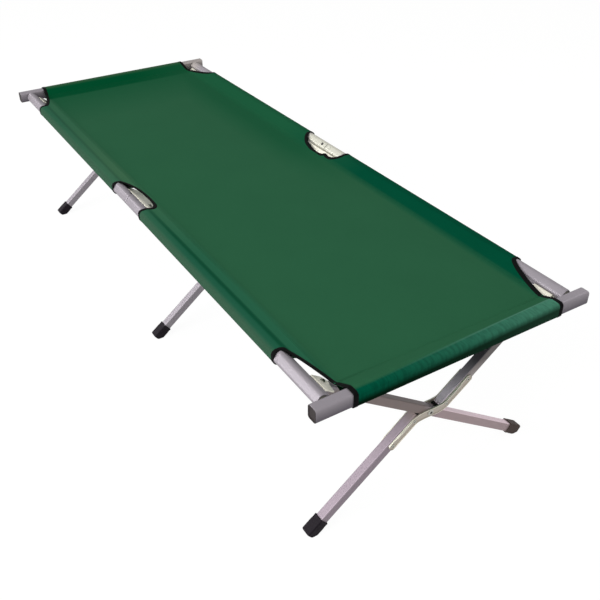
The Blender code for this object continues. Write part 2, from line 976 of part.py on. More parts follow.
for station in leg_stations:
    whole_leg(station)
    split_leg(station)
    crossing_plates(station)
    crossing_pin(station)

end_bar("foot", -1, foot_bar_axis)
end_bar("head", 1, head_bar_axis)

bed_sheet()
for x_name, flip_x in (("left", -1), ("right", 1)):
    binding(f"binding_middle_{x_name}", middle_edge(), flip_x, 1)
    for y_name, flip_y in (("foot", -1), ("head", 1)):
        binding(f"binding_{y_name}_{x_name}", corner_edge(), flip_x, flip_y)
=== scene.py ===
"""Looks of a folding camping cot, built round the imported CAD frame.

Metres, +Z up. X runs across the cot, Y along it with the foot end at -Y.
"""
import math

import bmesh
import bpy
import numpy as np
from mathutils import Matrix, Vector, noise


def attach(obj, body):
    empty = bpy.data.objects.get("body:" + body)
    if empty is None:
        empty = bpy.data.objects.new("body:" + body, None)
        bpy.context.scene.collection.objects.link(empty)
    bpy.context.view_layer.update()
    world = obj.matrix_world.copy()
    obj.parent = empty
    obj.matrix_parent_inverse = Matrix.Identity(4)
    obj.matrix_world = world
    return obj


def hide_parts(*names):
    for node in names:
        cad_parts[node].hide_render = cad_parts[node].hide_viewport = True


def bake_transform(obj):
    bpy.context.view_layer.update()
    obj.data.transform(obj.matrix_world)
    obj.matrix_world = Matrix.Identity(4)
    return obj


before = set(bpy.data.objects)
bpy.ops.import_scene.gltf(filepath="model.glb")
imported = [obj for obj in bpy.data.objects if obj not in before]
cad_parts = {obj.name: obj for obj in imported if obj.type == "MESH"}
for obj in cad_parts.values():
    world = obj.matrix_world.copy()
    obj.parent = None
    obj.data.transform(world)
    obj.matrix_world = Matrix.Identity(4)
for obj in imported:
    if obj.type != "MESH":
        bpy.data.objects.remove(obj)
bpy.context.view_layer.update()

# Camera
# The photograph looks down on the foot-left corner from about 35 degrees up,
# through a lens a little longer than normal.
camera_place = Vector((-0.884567, -1.780234, 1.366842))
camera_azimuth = 0.550215
camera_drop = 0.605485
camera_roll = -0.008534
camera_lens = 46.309
sensor_width = 36.0
nearest_seen = 0.05


def set_down(name, data):
    """A new object of the scene that holds the data."""
    made = bpy.data.objects.new(name, data)
    bpy.context.scene.collection.objects.link(made)
    return made


level = math.cos(camera_drop)
look = Vector((math.sin(camera_azimuth) * level, math.cos(camera_azimuth) * level, -math.sin(camera_drop)))
level_right = Vector((math.cos(camera_azimuth), -math.sin(camera_azimuth), 0))
level_up = level_right.cross(look)
camera_right = math.cos(camera_roll) * level_right + math.sin(camera_roll) * level_up
camera_up = camera_right.cross(look)
camera = set_down("camera", bpy.data.cameras.new("camera"))
camera.data.lens = camera_lens
camera.data.sensor_width = sensor_width
camera.data.clip_start = nearest_seen
rows = [(camera_right[k], camera_up[k], -look[k], camera_place[k]) for k in range(3)]
camera.matrix_world = Matrix([*rows, (0, 0, 0, 1)])
bpy.context.scene.camera = camera
bpy.context.scene.view_settings.view_transform = "Standard"


# Studio
# A pale floor that runs out to white, in an even white room. A large soft lamp
# stands high on the cot's left, and a low one beside it reaches under the bed.
room_strength = 0.45
room_seen = 1.0
floor_seen = 1.07
floor_colour = "#DADAD8"
floor_shadow_share = 0.12
floor_half = 9.0
lamps_aim = Vector((0, 0, 0.4))


def linear(code):
    """An sRGB hex colour as linear red, green, blue and alpha."""
    parts = [int(code[k : k + 2], 16) / 255 for k in (1, 3, 5)]
    return (*(p / 12.92 if p <= 0.04045 else ((p + 0.055) / 1.055) ** 2.4 for p in parts), 1.0)


def fill(node, inputs):
    """Give a node's inputs, named or in order, values, sockets or other nodes' first outputs."""
    for key, value in inputs.items() if isinstance(inputs, dict) else enumerate(inputs):
        if isinstance(value, bpy.types.Node):
            value = value.outputs[0]
        if isinstance(value, bpy.types.NodeSocket):
            node.id_data.links.new(value, node.inputs[key])
        else:
            node.inputs[key].default_value = value


def add(tree, kind, inputs={}, **settings):
    """A node with its settings and its inputs filled."""
    node = tree.nodes.new(kind)
    for name, value in settings.items():
        setattr(node, name, value)
    fill(node, inputs)
    return node


def seen_share(tree):
    """One for the rays that show a thing as it is seen, and zero for those that it lights."""
    rays = add(tree, "ShaderNodeLightPath")
    share = 0.0
    for ray in ("Is Camera Ray", "Is Glossy Ray", "Is Transmission Ray"):
        share = add(tree, "ShaderNodeMath", {0: rays.outputs[ray], 1: share}, operation="MAXIMUM")
    return share


world = bpy.data.worlds.new("studio_room")
world.use_nodes = True
bpy.context.scene.world = world
tree = world.node_tree
tree.nodes.clear()
lit = add(tree, "ShaderNodeBackground", {"Color": linear("#FFFFFF"), "Strength": room_strength})
shown = add(tree, "ShaderNodeBackground", {"Color": linear("#FFFFFF"), "Strength": room_seen})
room = add(tree, "ShaderNodeMixShader", {0: seen_share(tree), 1: lit, 2: shown})
add(tree, "ShaderNodeOutputWorld", {"Surface": room})

floor_paper = bpy.data.materials.new("floor_paper")
floor_paper.use_nodes = True
tree = floor_paper.node_tree
tree.nodes.clear()
matt = add(tree, "ShaderNodeBsdfDiffuse", {"Color": linear(floor_colour)})
white = add(tree, "ShaderNodeEmission", {"Color": linear("#FFFFFF"), "Strength": floor_seen})
white_share = {0: seen_share(tree), 1: 1 - floor_shadow_share}
white_share = add(tree, "ShaderNodeMath", white_share, operation="MULTIPLY")
paper = add(tree, "ShaderNodeMixShader", {0: white_share, 1: matt, 2: white})
add(tree, "ShaderNodeOutputMaterial", {"Surface": paper})

floor = set_down("floor", bpy.data.meshes.new("floor"))
corners = [(x * floor_half, y * floor_half, 0) for x, y in ((-1, -1), (1, -1), (1, 1), (-1, 1))]
floor.data.from_pydata(corners, [], [(0, 1, 2, 3)])
floor.data.materials.append(floor_paper)

for name, place, size, watts in (
    ("left_lamp", (-5.0, -1.4, 3.3), 3.9, 305.0),
    ("low_lamp", (-3.9, 1.3, 0.9), 1.6, 66.0),
    ("right_lamp", (2.4, -0.6, 2.6), 1.8, 15.0),
    ("front_lamp", (0.4, -3.2, 2.2), 1.6, 4.0),
    ("glint_lamp", (-3.2, 4.6, 3.4), 2.0, 100.0),
):
    lamp = set_down(name, bpy.data.lights.new(name, "AREA"))
    lamp.data.size = size
    lamp.data.energy = watts
    lamp.location = place
    lamp.rotation_euler = (lamps_aim - Vector(place)).to_track_quat("-Z", "Y").to_euler()
    lamp.visible_diffuse = name != "glint_lamp"


# Rails
# Each side rail is two aluminium tubes of rounded square section, drawn, satin
# anodised and butted at the middle over a steel link that two pins hold.
rail_x = 0.310
rail_z = 0.430
crossing_z = 0.214
gap = 0.0003
rail_half = 0.014
rail_corner = 0.009
rail_wall = 0.0016
rail_end_y = 0.920
nest_offset = 0.023
pivot_reach = math.hypot(rail_x, rail_z - crossing_z)
whole_slope = math.atan2(rail_z - crossing_z, rail_x)
split_slope = whole_slope + math.asin(nest_offset / pivot_reach)
split_reach = math.sqrt(pivot_reach**2 - nest_offset**2)
along_y = Vector((0, 1, 0))
along_x = Vector((1, 0, 0))
along_z = Vector((0, 0, 1))


class Frame:
    """One side of the cot, with distances down its legs and across them."""

    def __init__(self, name, sign, slope):
        self.name = name
        self.body = name + "_frame"
        self.sign = sign
        self.slope = slope
        self.rail = Vector((sign * rail_x, 0, rail_z))
        self.down = Vector((-sign * math.cos(slope), 0, -math.sin(slope)))
        self.up = Vector((-sign * math.sin(slope), 0, math.cos(slope)))

    def point(self, along, across, y):
        """A place from the rail: down the leg, across it and along the cot."""
        return self.rail + along * self.down + across * self.up + y * along_y


left = Frame("left", -1, whole_slope)
right = Frame("right", 1, split_slope)


def rounded(half_u, half_v, radius, steps=6):
    """Corner points of a rounded rectangle, in order round it."""
    points = []
    for turn, (side_u, side_v) in enumerate([(1, 1), (-1, 1), (-1, -1), (1, -1)]):
        for step in range(steps + 1):
            angle = math.pi / 2 * (turn + step / steps)
            u = side_u * (half_u - radius) + radius * math.cos(angle)
            v = side_v * (half_v - radius) + radius * math.sin(angle)
            points.append((u, v))
    return points


def placed(points, origin, u_way, v_way):
    """Points of an outline set in space at an origin."""
    return [origin + u * u_way + v * v_way for u, v in points]


def run_along(points):
    """Length of a line of points as far as each of them."""
    run = [0.0]
    for p, q in zip(points, points[1:]):
        run.append(run[-1] + math.dist(p, q))
    return run


def made_of(name, shape):
    """An object from a bmesh, which is freed."""
    mesh = bpy.data.meshes.new(name)
    shape.to_mesh(mesh)
    shape.free()
    return set_down(name, mesh)


def skin(name, rings, loop=False):
    """Mesh object through rings of equal counts, capped, or closed into a loop.

    Its UV map runs along the rings and round them, in metres.
    """
    shape = bmesh.new()
    layer = shape.loops.layers.uv.new("surface")
    rows = [[shape.verts.new(p) for p in ring] for ring in rings]
    count = len(rings[0])
    round_it = run_along([*rings[0], rings[0][0]])
    pairs = list(zip(rows, rows[1:]))
    if loop:
        pairs.append((rows[-1], rows[0]))
    along = 0.0
    for low, high in pairs:
        further = along + (high[0].co - low[0].co).length
        for k in range(count):
            n = (k + 1) % count
            face = shape.faces.new((low[k], low[n], high[n], high[k]))
            near, far = round_it[k], round_it[k + 1]
            places = ((along, near), (along, far), (further, far), (further, near))
            for corner, place in zip(face.loops, places):
                corner[layer].uv = place
        along = further
    if not loop:
        shape.faces.new(rows[0])
        shape.faces.new(rows[-1])
    bmesh.ops.recalc_face_normals(shape, faces=shape.faces)
    return made_of(name, shape)


def tube_rings(start, end, u_way, v_way, half_u, half_v, radius, wall, steps=6, ease=0.0004):
    """Rings of an open tube whose cut ends are eased.

    A second ring close behind each eased edge keeps the shading of the walls flat.
    """
    way = (end - start).normalized()
    hold = ease + 0.0008
    outer = rounded(half_u, half_v, radius, steps)
    eased = rounded(half_u - ease, half_v - ease, radius - ease, steps)
    inner = rounded(half_u - wall, half_v - wall, max(radius - wall, ease), steps)
    first, last = (eased, start), (eased, end)
    rings = [first, (outer, start + ease * way), (outer, start + hold * way)]
    rings += [(outer, end - hold * way), (outer, end - ease * way), last]
    rings += [(inner, end), (inner, start)]
    return [placed(points, place, u_way, v_way) for points, place in rings]


def baked(piece):
    """The piece with its modifiers turned into plain mesh."""
    graph = bpy.context.evaluated_depsgraph_get()
    mesh = bpy.data.meshes.new_from_object(piece.evaluated_get(graph))
    piece.modifiers.clear()
    piece.data = mesh
    mesh.name = piece.name
    return piece


def fitted(piece, finish, slot, body, *nodes, sharp=32.0, flat=True):
    """Give a piece its material and shading, and set it on its body in place of nodes."""
    piece.data.materials.clear()
    piece.data.materials.append(finish)
    piece.data.shade_smooth()
    piece.data.set_sharp_from_angle(angle=math.radians(sharp))
    if body and flat:
        flats = piece.modifiers.new("flats", "WEIGHTED_NORMAL")
        flats.keep_sharp = True
        flats.weight = 100
        baked(piece)
    if body:
        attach(piece, body)
    if nodes:
        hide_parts(*nodes)
    return piece


def new_finish(name, **values):
    """A material, its node tree and its Principled shader with values on its sockets."""
    made = bpy.data.materials.new(name)
    made.use_nodes = True
    shader = made.node_tree.nodes["Principled BSDF"]
    for key, value in values.items():
        shader.inputs[key.replace("_", " ")].default_value = value
    return made, made.node_tree, shader


def zone(*edges):
    """Share of a zone: shares and edges, each a place with its start and end, multiplied."""
    share = None
    for edge in edges:
        if isinstance(edge, tuple):
            edge = add(edge[0].id_data, "ShaderNodeMapRange", edge)
        if share is not None:
            edge = add(edge.id_data, "ShaderNodeMath", (share, edge), operation="MULTIPLY")
        share = edge
    return share


def tinted(under, over, *edges):
    """One colour laid over another where all of a zone's edges hold."""
    share = zone(*edges)
    inputs = {0: share, 6: under, 7: linear(over) if isinstance(over, str) else over}
    return add(share.id_data, "ShaderNodeMix", inputs, data_type="RGBA").outputs[2]


def away(place, line):
    """Distance from a line, to either side."""
    off = add(place.id_data, "ShaderNodeMath", (place, line), operation="SUBTRACT")
    return add(place.id_data, "ShaderNodeMath", (off,), operation="ABSOLUTE").outputs[0]


def streaks(place, scales, detail):
    """Uneven shades, drawn out by the scale of the place along each axis."""
    scaled = add(place.id_data, "ShaderNodeMapping", {0: place, "Scale": scales})
    inputs = {"Vector": scaled, "Scale": 1.0, "Detail": detail}
    return add(place.id_data, "ShaderNodeTexNoise", inputs).outputs[0]


# Satin anodised aluminium: soft wide highlights and faint draw lines along the
# tube. The real lines are 0.2 mm apart and are drawn at 1.5 mm so that they show.
aluminium_light = "#928C92"
aluminium_dark = "#847F85"
edge_tint = (0.55, 0.53, 0.56, 1)
draw_line_pitch = 0.0015
draw_line_length = 0.35
cloud_scale = 14.0
cloud_share = 0.7
anodised, tree, shader = new_finish(
    "satin_anodised_aluminium", Metallic=0.45, Specular_IOR_Level=0.3, Specular_Tint=edge_tint
)
surface = add(tree, "ShaderNodeUVMap", uv_map="surface").outputs[0]
lines = streaks(surface, (1 / draw_line_length, 1 / draw_line_pitch, 1), 3.0)
place = add(tree, "ShaderNodeTexCoord").outputs["Object"]
cloud = add(tree, "ShaderNodeTexNoise", {"Vector": place, "Scale": cloud_scale, "Detail": 3.0})
both = add(tree, "ShaderNodeMix", {0: cloud_share, 2: lines, 3: cloud}).outputs[0]
tint = {0: both, 6: linear(aluminium_dark), 7: linear(aluminium_light)}
tint = add(tree, "ShaderNodeMix", tint, data_type="RGBA").outputs[2]
out_right, toward_head, above = add(tree, "ShaderNodeSeparateXYZ", {0: place}).outputs

# Painted shade: an end bar's front is painted darker towards its lower edge, over the
# shaded ground. Painted highlight: the right rail is painted pale at the middle,
# where the cloth's cut leaves it uncovered.
aluminium_painted_shade = "#57525A"
aluminium_painted_highlight = "#BDBCB0"
painted_highlight_middle = 0.006
painted_highlight_reach = (0.080, 0.100, 1.0, 0.0)
painted_highlight_side = (0.20, 0.25)
painted_highlight_level = (0.36, 0.40)
shade = add(tree, "ShaderNodeAttribute", attribute_name="shade")
tint = {0: shade.outputs["Fac"], 6: tint, 7: linear(aluminium_painted_shade)}
tint = add(tree, "ShaderNodeMix", tint, data_type="RGBA").outputs[2]
# Painted highlight on the right rail beside the middle cut.
painted_highlight = ((out_right, *painted_highlight_side), (away(toward_head, painted_highlight_middle), *painted_highlight_reach), (above, *painted_highlight_level))
tint = tinted(tint, aluminium_painted_highlight, *painted_highlight)

# Painted light and shade on the foot pair of legs: pinkish below the crossing, pale
# on top at the right, and above the crossing the right leg is painted dark as the
# cloth's shadow.
lower_left = (1.05, 0.95, 1.0, 1)
lower_right = (1.45, 1.22, 1.15, 1)
lower_right_top = (3.3, 2.9, 2.85, 1)
upper_left = (0.86, 0.76, 0.66, 1)
upper_right = (1.95, 1.9, 1.7, 1)
upper_right_top = (1.58, 1.58, 1.62, 1)
upper_shaded = (0.58, 0.57, 0.50, 1)
upper_shaded_top = (0.24, 0.24, 0.26, 1)
leg_top_off = (0.0095, 0.0104)
right_half = (-0.02, 0.03)
below_crossing = (0.225, 0.205)
into_shade = (0.240, 0.300)
below_rails = (0.400, 0.385)
near_foot = (-0.5, -0.7)


def top_face(side):
    """Share of a side's legs that is the upper face of their tubes."""
    off = add(tree, "ShaderNodeVectorMath", (place, side.up), operation="DOT_PRODUCT").outputs["Value"]
    lift = add(tree, "ShaderNodeMath", (off, side.rail @ side.up), operation="SUBTRACT")
    return add(tree, "ShaderNodeMapRange", (lift, *leg_top_off))


at_right = add(tree, "ShaderNodeMapRange", (out_right, *right_half))
shaded = add(tree, "ShaderNodeMapRange", (above, *into_shade))
legs = {}
for name, share, *pair in (
    ("lower right", top_face(left), lower_right, lower_right_top),
    ("lower", at_right, lower_left, "lower right"),
    ("front", shaded, upper_right, upper_shaded),
    ("top", shaded, upper_right_top, upper_shaded_top),
    ("upper right", top_face(right), "front", "top"),
    ("upper", at_right, upper_left, "upper right"),
):
    under, over = (legs.get(each, each) for each in pair)
    legs[name] = add(tree, "ShaderNodeMix", {0: share, 6: under, 7: over}, data_type="RGBA").outputs[2]
about = tinted(legs["upper"], legs["lower"], (above, *below_crossing))
about = tinted((1, 1, 1, 1), about, (above, *below_rails), (toward_head, *near_foot))

# Painted light: the head end of the right rail and its bar's end are painted paler and warmer than the rest.
head_painted_light = (1.28, 1.27, 1.10, 1)
near_head = (0.84, 0.90)
head_side = (0.15, 0.22)
matt_range = (0.3, 0.7, 0.42, 0.50)
about = tinted(about, head_painted_light, (toward_head, *near_head), (out_right, *head_side))
# The painted light and shade multiply the aluminium's colour.
tint = add(tree, "ShaderNodeVectorMath", {0: tint, 1: about}, operation="MULTIPLY")
relief = add(tree, "ShaderNodeBump", {"Height": lines, "Strength": 0.02, "Distance": 0.0003})
matt = add(tree, "ShaderNodeMapRange", (both, *matt_range))
fill(shader, {"Base Color": tint, "Roughness": matt, "Normal": relief})

joint_ease = 0.0014
joint_gap = 0.0009
rail_steps = 9
for side in (left, right):
    for end_name, end_sign in (("foot", -1), ("head", 1)):
        start = side.point(0, 0, end_sign * joint_gap)
        end = side.point(0, 0, end_sign * rail_end_y)
        section = (side.down, side.up, rail_half, rail_half, rail_corner, rail_wall)
        rings = tube_rings(start, end, *section, rail_steps, joint_ease)
        node = f"rail_{side.name}_{end_name}"
        rail = skin(node + "_tube", rings, loop=True)
        fitted(rail, anodised, "satin_aluminium", side.body, node, sharp=50, flat=False)

# Steel link and pins
# A flat steel bar lies inside the joint of each rail, held by a pin at each side of
# it. The head-side pin is painted dark as the shade of a hole, and the foot-side one
# is satin like the rail.
link_length = 0.064
link_half_height = 0.008
link_corner = 0.002
link_pin_radius = 0.0022
link_pin_y = 0.019
pin_head_radius = 0.0042
pin_head_height = 0.0014


def lathed(origin, way, profile, sides=28):
    """Rings turned about an axis, from (distance along, radius) pairs."""
    way = way.normalized()
    across = way.orthogonal().normalized()
    other = way.cross(across)
    round_it = [2 * math.pi * k / sides for k in range(sides)]
    turns = [math.cos(angle) * across + math.sin(angle) * other for angle in round_it]
    return [[origin + along * way + radius * turn for turn in turns] for along, radius in profile]


def domed(reach, radius, head_radius, head_height):
    """Profile of a pin with a domed head, drilled in its middle, beyond each end of its grip."""
    head = [(head_height * 0.3, head_radius * share) for share in (0.04, 0.26)]
    for k in range(1, 6):
        angle = math.pi / 2 * (0.22 + 0.78 * k / 5)
        head.append((head_height * (1 - 0.8 * math.sin(angle) ** 2), head_radius * math.sin(angle)))
    low = [(-along - reach, size) for along, size in head] + [(-reach, head_radius), (-reach, radius)]
    return low + [(-along, size) for along, size in reversed(low)]


def sunk(piece, count, rings=(), corners=()):
    """Mark the recessed rings of a skin, or the recessed corners of all its rings, for painted shade."""
    mark = piece.data.attributes.new("recess", "FLOAT", "POINT")
    for k, spot in enumerate(mark.data):
        spot.value = float(k // count in rings or k % count in corners)
    return piece


def turned(name, origin, way, profile, sides=28):
    """A pin whose drilled middles are marked for painted shade."""
    last = len(profile) - 1
    return sunk(skin(name, lathed(origin, way, profile, sides)), sides, rings=(0, 1, last - 1, last))


def joined(name, pieces):
    """One object from several, with its parts as they stand."""
    shape = bmesh.new()
    for piece in pieces:
        shape.from_mesh(piece.data)
        bpy.data.objects.remove(piece, do_unlink=True)
    return made_of(name, shape)


def speckled(name, scale, detail, colours, rough=None, relief=None, recess=None, across=None, **values):
    """A finish with fine shades, between two colours, in its roughness and its relief.

    The shades lie in the object's space, or across its UV map where they are drawn
    out. Marked recesses take a painted shade of their own. Also gives back the colour.
    """
    made, tree, shader = new_finish(name, **values)
    if across:
        grain = streaks(add(tree, "ShaderNodeUVMap", uv_map="surface").outputs[0], across, detail)
    else:
        place = add(tree, "ShaderNodeTexCoord").outputs["Object"]
        grain = {"Vector": place, "Scale": scale, "Detail": detail}
        grain = add(tree, "ShaderNodeTexNoise", grain).outputs[0]
    tint = dict(zip((0, 6, 7), (grain, *map(linear, colours))))
    tint = add(tree, "ShaderNodeMix", tint, data_type="RGBA").outputs[2]
    if recess:
        mark = add(tree, "ShaderNodeAttribute", attribute_name="recess").outputs["Fac"]
        tint = {0: mark, 6: tint, 7: linear(recess)}
        tint = add(tree, "ShaderNodeMix", tint, data_type="RGBA").outputs[2]
    fill(shader, {"Base Color": tint})
    if rough:
        fill(shader, {"Roughness": add(tree, "ShaderNodeMapRange", (grain, *rough))})
    if relief:
        strength, distance = relief
        height = {"Height": grain, "Strength": strength, "Distance": distance}
        fill(shader, {"Normal": add(tree, "ShaderNodeBump", height)})
    return made, tint


# Bright zinc-plated steel of the pins, pale and a little rough from the barrel
# it is plated in.
steel = ("#9A9A93", "#BEBDB4")
# The drilled middles of pins and rivets are painted dark, as the shade in them.
steel_recess_shade = "#2B2724"
pin_steel, _ = speckled(
    "barrel_plated_steel",
    420.0,
    3.0,
    steel,
    relief=(0.2, 0.0002),
    recess=steel_recess_shade,
    Metallic=0.9,
    Roughness=0.34,
)

# Steel of the link, painted near-black so that its pin's head reads as the shade of
# a hole, and unevenly dull.
hole_shade_black = "#2A2829"
dull_range = (0.0, 1.0, 0.4, 0.6)
dark_steel, tree, shader = new_finish("blackened_steel", Base_Color=linear(hole_shade_black), Metallic=0.6)
place = add(tree, "ShaderNodeTexCoord").outputs["Object"]
dull = add(tree, "ShaderNodeTexNoise", {"Vector": place, "Scale": 300.0, "Detail": 2.0}).outputs[0]
fill(shader, {"Roughness": add(tree, "ShaderNodeMapRange", (dull, *dull_range))})

for side in (left, right):
    half = rail_half - rail_wall - gap
    outline = rounded(link_half_height, half, link_corner, 4)
    ends = (-link_length / 2, link_length / 2)
    rings = [placed(outline, side.point(0, 0, y), side.down, side.up) for y in ends]
    profile = domed(rail_half + gap, link_pin_radius, pin_head_radius, pin_head_height)
    parts = [skin("link_bar", rings), turned("link_pin", side.point(0, 0, link_pin_y), side.up, profile)]
    link = joined(f"rail_link_{side.name}_bar_and_pin", parts)
    fitted(link, dark_steel, "rivet_steel", side.body, f"rail_link_{side.name}")
    pin = turned(f"rail_link_{side.name}_foot_pin", side.point(0, 0, -link_pin_y), side.up, profile)
    fitted(pin, anodised, "satin_aluminium", side.body)
    for end_name in ("foot", "head"):
        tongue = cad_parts[f"rail_tongue_{side.name}_{end_name}"]
        for slot_place in tongue.material_slots:
            slot_place.material = pin_steel


# End bars
# A rectangular aluminium tube closes each end, slotted for the rail tongues and
# stopped with a moulded plug. It is the same satin finish as the rails.
bar_length = 0.690
bar_half_height = 0.016
bar_half_depth = 0.013
bar_wall = 0.0016
bar_corner = 0.006
bar_y = 0.937
bar_z = 0.42996
plug_length = 0.012
plug_dish = 0.0010
plug_lip = 0.0006
plug_seat = 0.0001
plug_ease = 0.0003
plug_rim = 0.0008
shade_start = 0.011
shade_run = 0.024

# Moulded plastic of the plugs: dark, dull and faintly grained by its mould.
plug_colours = ("#1A1516", "#2A2223")
moulded, _ = speckled(
    "moulded_polypropylene",
    900.0,
    2.0,
    plug_colours,
    relief=(0.25, 0.0003),
    Roughness=0.48,
    IOR=1.49,
    Specular_IOR_Level=0.15,
)

for end_name, end_sign in (("foot", -1), ("head", 1)):
    body = end_name + "_bar"
    middle = Vector((0, end_sign * bar_y, bar_z))
    reach = bar_length / 2 * along_x
    section = (along_y, along_z, bar_half_depth, bar_half_height, bar_corner, bar_wall, 8)
    bar = skin(f"end_bar_{end_name}_tube", tube_rings(middle - reach, middle + reach, *section), loop=True)
    # The share of painted shade, growing towards the bar's lower edge.
    shade = bar.data.attributes.new("shade", "FLOAT", "POINT")
    drops = [(bar_z + shade_start - v.co.z) / shade_run for v in bar.data.vertices]
    shade.data.foreach_set("value", [min(max(drop, 0.0), 1.0) for drop in drops])
    fitted(bar, anodised, "satin_aluminium", body, f"end_bar_{end_name}", sharp=50)
    fit = bar_wall + gap
    rim = fit + plug_rim
    plug_rings = ((fit, -plug_length), (fit, plug_seat), (plug_ease, plug_seat))
    plug_rings += ((plug_ease, plug_lip - plug_ease), (2 * plug_ease, plug_lip), (rim, plug_lip))
    plug_rings += ((rim + plug_rim / 2, plug_lip - plug_dish),)
    for side in (left, right):
        rings = []
        for inset, out in plug_rings:
            outline = rounded(bar_half_depth - inset, bar_half_height - inset, bar_corner - inset)
            origin = middle + side.sign * (bar_length / 2 + out) * along_x
            rings.append(placed(outline, origin, along_y, along_z))
        plug = skin(f"bar_plug_{end_name}_{side.name}_moulding", rings)
        fitted(plug, moulded, "dark_grey_plastic", body, f"bar_plug_{end_name}_{side.name}")


# Leg brackets
# A pressed steel U is riveted under the rail at each pair of legs. Its two
# flanges narrow to a round nose that takes the leg's pin.
leg_stations = {"foot": -0.862, "centre": -0.033, "head": 0.862}
bracket_outer = 0.0135
bracket_web = 0.0143
bracket_sheet = 0.002
bracket_bend = 0.0026
bracket_reaches = {"foot": 0.050, "centre": 0.063, "head": 0.050}
bracket_skirts = {"foot": 0.022, "centre": 0.049, "head": 0.022}
bracket_flares = {"foot": 0.0, "centre": 0.014, "head": 0.0}
flare_run = 0.020
bracket_fillet = 0.009
end_outer_arm = 0.038
end_inner_arm = 0.0135
centre_foot_arm = 0.052
centre_head_arm = 0.100
leg_pin_reach = 0.037
web_rivet_inset = 0.011
nose_join = 0.0002
press_edge = 0.0004
press_angle = math.radians(50)
leg_pin_sizes = (0.003, 0.0058, 0.0022)


def smooth(x):
    """A share between 0 and 1 that starts and ends gently."""
    x = min(max(x, 0.0), 1.0)
    return x * x * (3 - 2 * x)


def bracket_arms(station, y):
    """Foot-side and head-side ends of a bracket along its rail."""
    if station == "centre":
        return y - centre_foot_arm, y + centre_head_arm
    if station == "foot":
        return y - end_outer_arm, y + end_inner_arm
    return y - end_inner_arm, y + end_outer_arm


def bracket_width(along, low, high, nose_y, station):
    """Foot-side and head-side ends of a flange at a distance down the leg."""
    nose_radius = bracket_reaches[station] - leg_pin_reach
    past = max(along - leg_pin_reach, 0)
    half = math.sqrt(max(nose_radius**2 - past**2, 0)) + nose_join
    share = smooth((along - bracket_web - bracket_skirts[station]) / bracket_fillet)
    high += bracket_flares[station] * smooth((along - bracket_web) / flare_run)
    return low + (nose_y - half - low) * share, high - (high - nose_y - half) * share


def u_profile(station):
    """Half of the outer face of a bracket as (along, across), from the tip of a flange."""
    nose_radius = bracket_reaches[station] - leg_pin_reach
    low = bracket_web + bracket_bend
    flange = [leg_pin_reach + nose_radius * math.cos(math.pi / 2 * k / 12) for k in range(13)]
    flange += [leg_pin_reach + (low - leg_pin_reach) * k / 12 for k in range(1, 13)]
    points = [(along, bracket_outer) for along in flange]
    for angle in (math.pi / 2 * k / 4 for k in range(1, 5)):
        across = bracket_outer - bracket_bend * (1 - math.cos(angle))
        points.append((low - bracket_bend * math.sin(angle), across))
    return points


def strip(shape, layer, rows):
    """Add rows of (point, uv) to a shape as a grid, with a gap where a row is None."""
    made = [row and [shape.verts.new(point) for point, _ in row] for row in rows]
    for j in range(len(rows) - 1):
        if not (made[j] and made[j + 1]):
            continue
        for i in range(len(made[j]) - 1):
            spots = ((j, i), (j, i + 1), (j + 1, i + 1), (j + 1, i))
            face = shape.faces.new([made[a][b] for a, b in spots])
            for corner, (a, b) in zip(face.loops, spots):
                corner[layer].uv = rows[a][b][1]


# Zinc-plated sheet steel, cream from its passivation, with cloudy patches and a
# slight orange-peel that keep the highlights soft.
zinc = ("#C8C5B8", "#E2DFD0")
# The recessed face of each plate, between its lip and rim, is painted darker as shade.
zinc_recess_shade = "#AAA297"
zinc_patch = 0.012
zinc_sheen = (0.3, 0.7, 0.46, 0.34)
uv_step = 0.001
merge_reach = 0.00001
plated, tree, shader = new_finish("zinc_plated_sheet", Metallic=0.85)
place = add(tree, "ShaderNodeTexCoord").outputs["Object"]
patches = {"Vector": place, "Scale": 1 / zinc_patch, "Detail": 4.0, "Roughness": 0.6}
patches = add(tree, "ShaderNodeTexNoise", patches).outputs[0]
mark = add(tree, "ShaderNodeAttribute", attribute_name="recess").outputs["Fac"]
peel = add(tree, "ShaderNodeTexNoise", {"Vector": place, "Scale": 900.0, "Detail": 2.0})
peel = add(tree, "ShaderNodeBump", {"Height": peel, "Strength": 0.2, "Distance": 0.0002})
tint = dict(zip((0, 6, 7), (patches, *map(linear, zinc))))
tint = {0: mark, 6: add(tree, "ShaderNodeMix", tint, data_type="RGBA").outputs[2], 7: linear(zinc_recess_shade)}
tint = add(tree, "ShaderNodeMix", tint, data_type="RGBA").outputs[2]
sheen = add(tree, "ShaderNodeMapRange", (patches, *zinc_sheen))
fill(shader, {"Base Color": tint, "Roughness": sheen, "Normal": peel})

